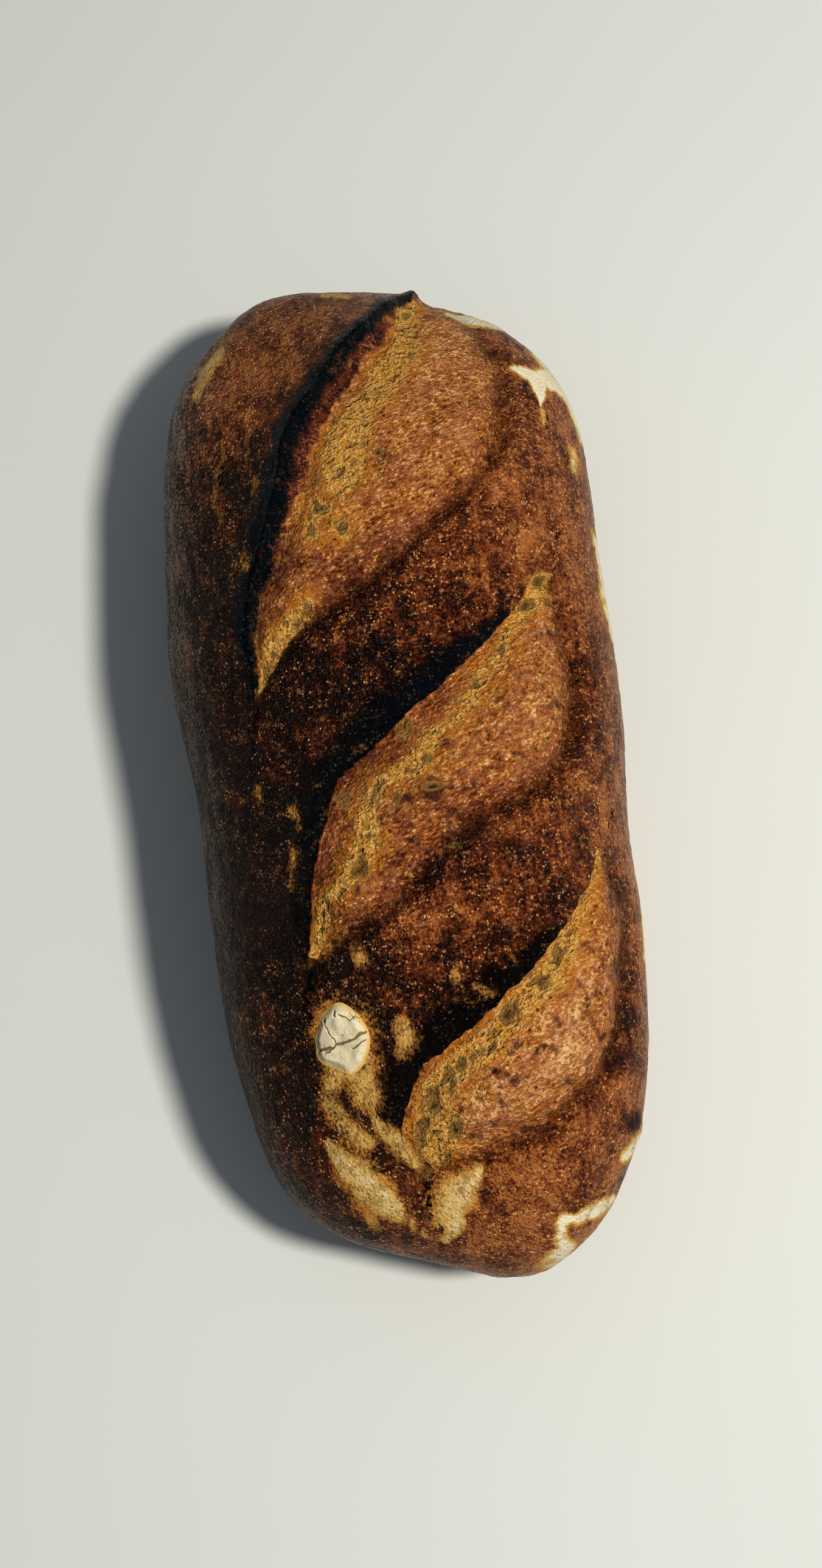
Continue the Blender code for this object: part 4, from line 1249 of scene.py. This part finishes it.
def flour_cake_material(colours, ragged):
    """Dry caked flour: cream, chalky and finely cracked."""
    material, shader, surface = new_material("caked_flour")
    c = colour_values(colours)
    where = shader.node("TexCoord").outputs["Object"]
    crack, edge = shader.mark("crack"), shader.mark("edge")
    patchy = shader.noise(where, 4 * MM, 4, 0.6)
    fine = shader.noise(where, 0.5 * MM, 3, 0.6)
    shaded = tuple(CAKE_SHADE * part for part in c["flour_white"])
    colour = shader.mix(shader.step(patchy, 0.35, 0.65), shaded, c["flour_white"])
    colour = shader.mix(shader.times(shader.step(fine, 0.62, 0.45), 0.25), colour, c["flour_thick"])
    edge_mask = ragged_mask(
        shader, ragged, where, edge, low=0.35, high=0.95, raggedness=1.0, size=2.5 * MM
    )
    colour = shader.mix(edge_mask, colour, c["flour_thick"])
    colour = shader.mix(shader.step(crack, 0.2, 0.7), colour, c["flour_crack"])
    bumps = shader.sum(shader.times(fine, 0.12), shader.times(patchy, 0.5))
    normal = shader.node("Bump", {"Height": bumps, "Distance": MM, "Strength": 0.8}).outputs[0]
    finish = {
        "Base Color": colour, "Roughness": 0.95, "Normal": normal, "Metallic": 0.0,
        "Specular IOR Level": 0.2,
    }
    join(shader, surface, finish)
    return material


def shape_flour_cake(loaf, thickness):
    """The flour cake: an uneven egg of dry flour that follows the loaf under it, with its cracks."""
    clear_selection()
    bpy.ops.mesh.primitive_grid_add(x_subdivisions=110, y_subdivisions=130, size=2)
    cake = bpy.context.object
    cake.name = cake.data.name = "flour_cake"
    square = vertex_places(cake.data)[:, :2]
    reach = np.abs(square).max(axis=1)
    angle = np.arctan2(square[:, 1], square[:, 0])
    corners = np.array(FLOUR_CAKE_OUTLINE)
    outline = Line(np.vstack([corners, corners[:1]])).points
    outline_angle = np.arctan2(outline[:, 1], outline[:, 0])
    order = np.argsort(outline_angle)
    outline_radius = np.linalg.norm(outline, axis=1)[order]
    radius = np.interp(angle, outline_angle[order], outline_radius, period=2 * math.pi)
    rim = np.stack([np.cos(angle), np.sin(angle), np.zeros(len(angle))], axis=1) * 8
    radius *= 1 + 0.05 * lattice_noise(rim, 2.4, 40)
    plan = np.stack([np.cos(angle), np.sin(angle)], axis=1) * (radius * reach)[:, None]

    flat = np.c_[plan, np.zeros(len(plan))]
    strayed = plan + 0.45 * np.stack([lattice_noise(flat, 1.1, seed) for seed in (41, 42)], axis=1)
    crack = np.zeros(len(plan))
    for points, half_width in FLOUR_CAKE_CRACKS:
        half_width = half_width * (1 + 0.6 * lattice_noise(flat, 1.6, 43))
        crack = np.maximum(crack, np.exp(-((Line(points).measure(strayed)[0] / half_width) ** 2)))
    height = thickness * (1 - 0.92 * smoothstep(0.70, 1.0, reach)) / MM
    height += 0.22 * lattice_noise(flat, 2.4, 44) + 0.16 * lattice_noise(flat, 5, 45) - 0.6 * crack

    surface = BVHTree.FromObject(loaf, bpy.context.evaluated_depsgraph_get())
    middle = np.array(FLOUR_CAKE_MIDDLE) + loaf["shift"]
    lean = surface.ray_cast(Vector((*middle * MM, 1)), Vector((0, 0, -1)))[1]
    places = []
    for (x, y), rise in zip((plan + middle) * MM, height * MM):
        crust, normal, _, _ = surface.ray_cast(Vector((x, y, 1)), Vector((0, 0, -1)))
        places.append(crust + (normal + 2 * lean).normalized() * rise)
    set_places(cake.data, np.array(places))
    for name, values in (("crack", crack), ("edge", smoothstep(0.72, 1.04, reach))):
        cake.data.attributes.new(name, "FLOAT", "POINT").data.foreach_set("value", values.astype(np.float32))
    apply_modifier(cake, "SOLIDIFY", thickness=thickness, offset=-1.0)
    cake.data.shade_smooth()
    return cake


class BATARD_OT_loaf(Operator):
    """Shape the loaf with its slashes, and give it its crust"""

    bl_idname = "batard.loaf"
    bl_label = "Loaf"

    def execute(self, context):
        sizes, colours = context.scene.batard_sizes, context.scene.batard_colours
        loaf = shape_loaf(sizes)
        loaf.data.materials.append(crust_material(colours, ragged_edge_group(), blister_group()))
        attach(loaf, "root")
        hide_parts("loaf")
        return {"FINISHED"}


class BATARD_OT_flour_cake(Operator):
    """Lay the cake of dry flour on the crust"""

    bl_idname = "batard.flour_cake"
    bl_label = "Flour Cake"

    def execute(self, context):
        loaf = bpy.data.objects["crusty_loaf"]
        cake = shape_flour_cake(loaf, context.scene.batard_sizes.flour_cake_thickness)
        colours, ragged = context.scene.batard_colours, bpy.data.node_groups["Ragged Edge"]
        cake.data.materials.append(flour_cake_material(colours, ragged))
        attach(cake, "root")
        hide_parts("loaf")
        return {"FINISHED"}


class BATARD_OT_stage(Operator):
    """Set the plain floor, the soft lights and the camera"""

    bl_idname = "batard.stage"
    bl_label = "Stage"

    def execute(self, context):
        settings = context.scene.batard_stage
        clear_selection()
        bpy.ops.mesh.primitive_plane_add(size=settings.floor_size, location=(0, 0, FLOOR_LEVEL))
        floor = context.object
        floor.name = floor.data.name = "floor"
        material, shader, surface = new_material("pale_floor")
        where = shader.node("TexCoord").outputs["Object"]
        cloudy = shader.noise(where, 120 * MM, 2, 0.5)
        floor_colour = tuple(context.scene.batard_colours.floor)
        colour = shader.mix(cloudy, tuple(FLOOR_SHADE * part for part in floor_colour), floor_colour)
        join(shader, surface, {"Base Color": colour, "Roughness": 0.9, "Metallic": 0.0})
        floor.data.materials.append(material)
        self.add_lights(context, settings)
        self.add_camera(context, settings)
        return {"FINISHED"}

    def add_lights(self, context, settings):
        """A soft key from the right, high over the loaf, and an even pale fill all round."""
        bpy.ops.object.light_add(type="AREA", location=KEY_PLACE)
        key = context.object
        key.name = key.data.name = "key_light"
        key.data.shape = "DISK"
        key.data.size = KEY_SIZE
        key.data.energy = settings.key_power
        key.data.color = KEY_COLOUR
        key.rotation_euler = (Vector(KEY_AIM) - key.location).to_track_quat("-Z", "Y").to_euler()
        world = bpy.data.worlds.new("studio")
        context.scene.world = world
        world.use_nodes = True
        shader = Shader(world.node_tree)
        seen = shader.node("LightPath").outputs["Is Camera Ray"]
        height = shader.node("SeparateXYZ", {0: shader.node("TexCoord").outputs["Generated"]}).outputs[2]
        soft = shader.mix(shader.step(height, 0.0, 0.9), FILL_LOW, FILL_HIGH)
        colour = shader.mix(seen, soft, BACKDROP)
        strength = shader.sum(shader.times(seen, 1 - settings.fill_strength), settings.fill_strength)
        background = world.node_tree.nodes["Background"]
        world.node_tree.links.new(colour, background.inputs["Color"])
        world.node_tree.links.new(strength, background.inputs["Strength"])
        context.scene.view_settings.view_transform = "Standard"
        context.scene.view_settings.look = "High Contrast"

    def add_camera(self, context, settings):
        """Looks down on the loaf from its narrow end's side, with the loaf turned a little in the picture."""
        lean, turn = settings.lean, settings.turn
        back = Vector((0, -math.sin(lean), math.cos(lean)))
        upright = (Vector((0, 1, 0)) - back * back.y).normalized()
        right = upright.cross(back)
        up = upright * math.cos(turn) + right * math.sin(turn)
        right = up.cross(back)
        bpy.ops.object.camera_add()
        camera = context.object
        camera.name = camera.data.name = "camera"
        camera.data.lens = settings.lens
        camera.data.clip_start = 0.01
        focal = settings.lens / SENSOR_SIZE * PICTURE_HEIGHT
        across = (AIM_IN_PICTURE[0] - PICTURE_WIDTH / 2) / focal * settings.distance
        down = (AIM_IN_PICTURE[1] - PICTURE_HEIGHT / 2) / focal * settings.distance
        target = Vector((0, 0, AIM_HEIGHT))
        place = target + back * settings.distance - right * across + up * down
        camera.matrix_world = Matrix.Translation(place) @ Matrix((right, up, back)).transposed().to_4x4()
        context.scene.camera = camera


class BATARD_PT_panel(Panel):
    """The loaf's pieces, in the order that they are made"""

    bl_idname = "BATARD_PT_panel"
    bl_label = "Wholemeal Batard"
    bl_space_type = "VIEW_3D"
    bl_region_type = "UI"
    bl_category = "Batard"

    def draw(self, context):
        for operator in (BATARD_OT_loaf, BATARD_OT_flour_cake, BATARD_OT_stage):
            self.layout.operator(operator.bl_idname)
        for group in (context.scene.batard_sizes, context.scene.batard_colours, context.scene.batard_stage):
            box = self.layout.box()
            for name in group.__annotations__:
                box.prop(group, name)


CLASSES = (
    LoafSizes, LoafColours, StageSettings,
    BATARD_OT_loaf, BATARD_OT_flour_cake, BATARD_OT_stage, BATARD_PT_panel,
)


def register():
    for item in CLASSES:
        bpy.utils.register_class(item)
    bpy.types.Scene.batard_sizes = PointerProperty(type=LoafSizes)
    bpy.types.Scene.batard_colours = PointerProperty(type=LoafColours)
    bpy.types.Scene.batard_stage = PointerProperty(type=StageSettings)


def unregister():
    for name in ("batard_stage", "batard_colours", "batard_sizes"):
        delattr(bpy.types.Scene, name)
    for item in reversed(CLASSES):
        bpy.utils.unregister_class(item)


def main():
    register()
    bpy.ops.batard.loaf()
    bpy.ops.batard.flour_cake()
    bpy.ops.batard.stage()


if __name__ == "__main__":
    main()
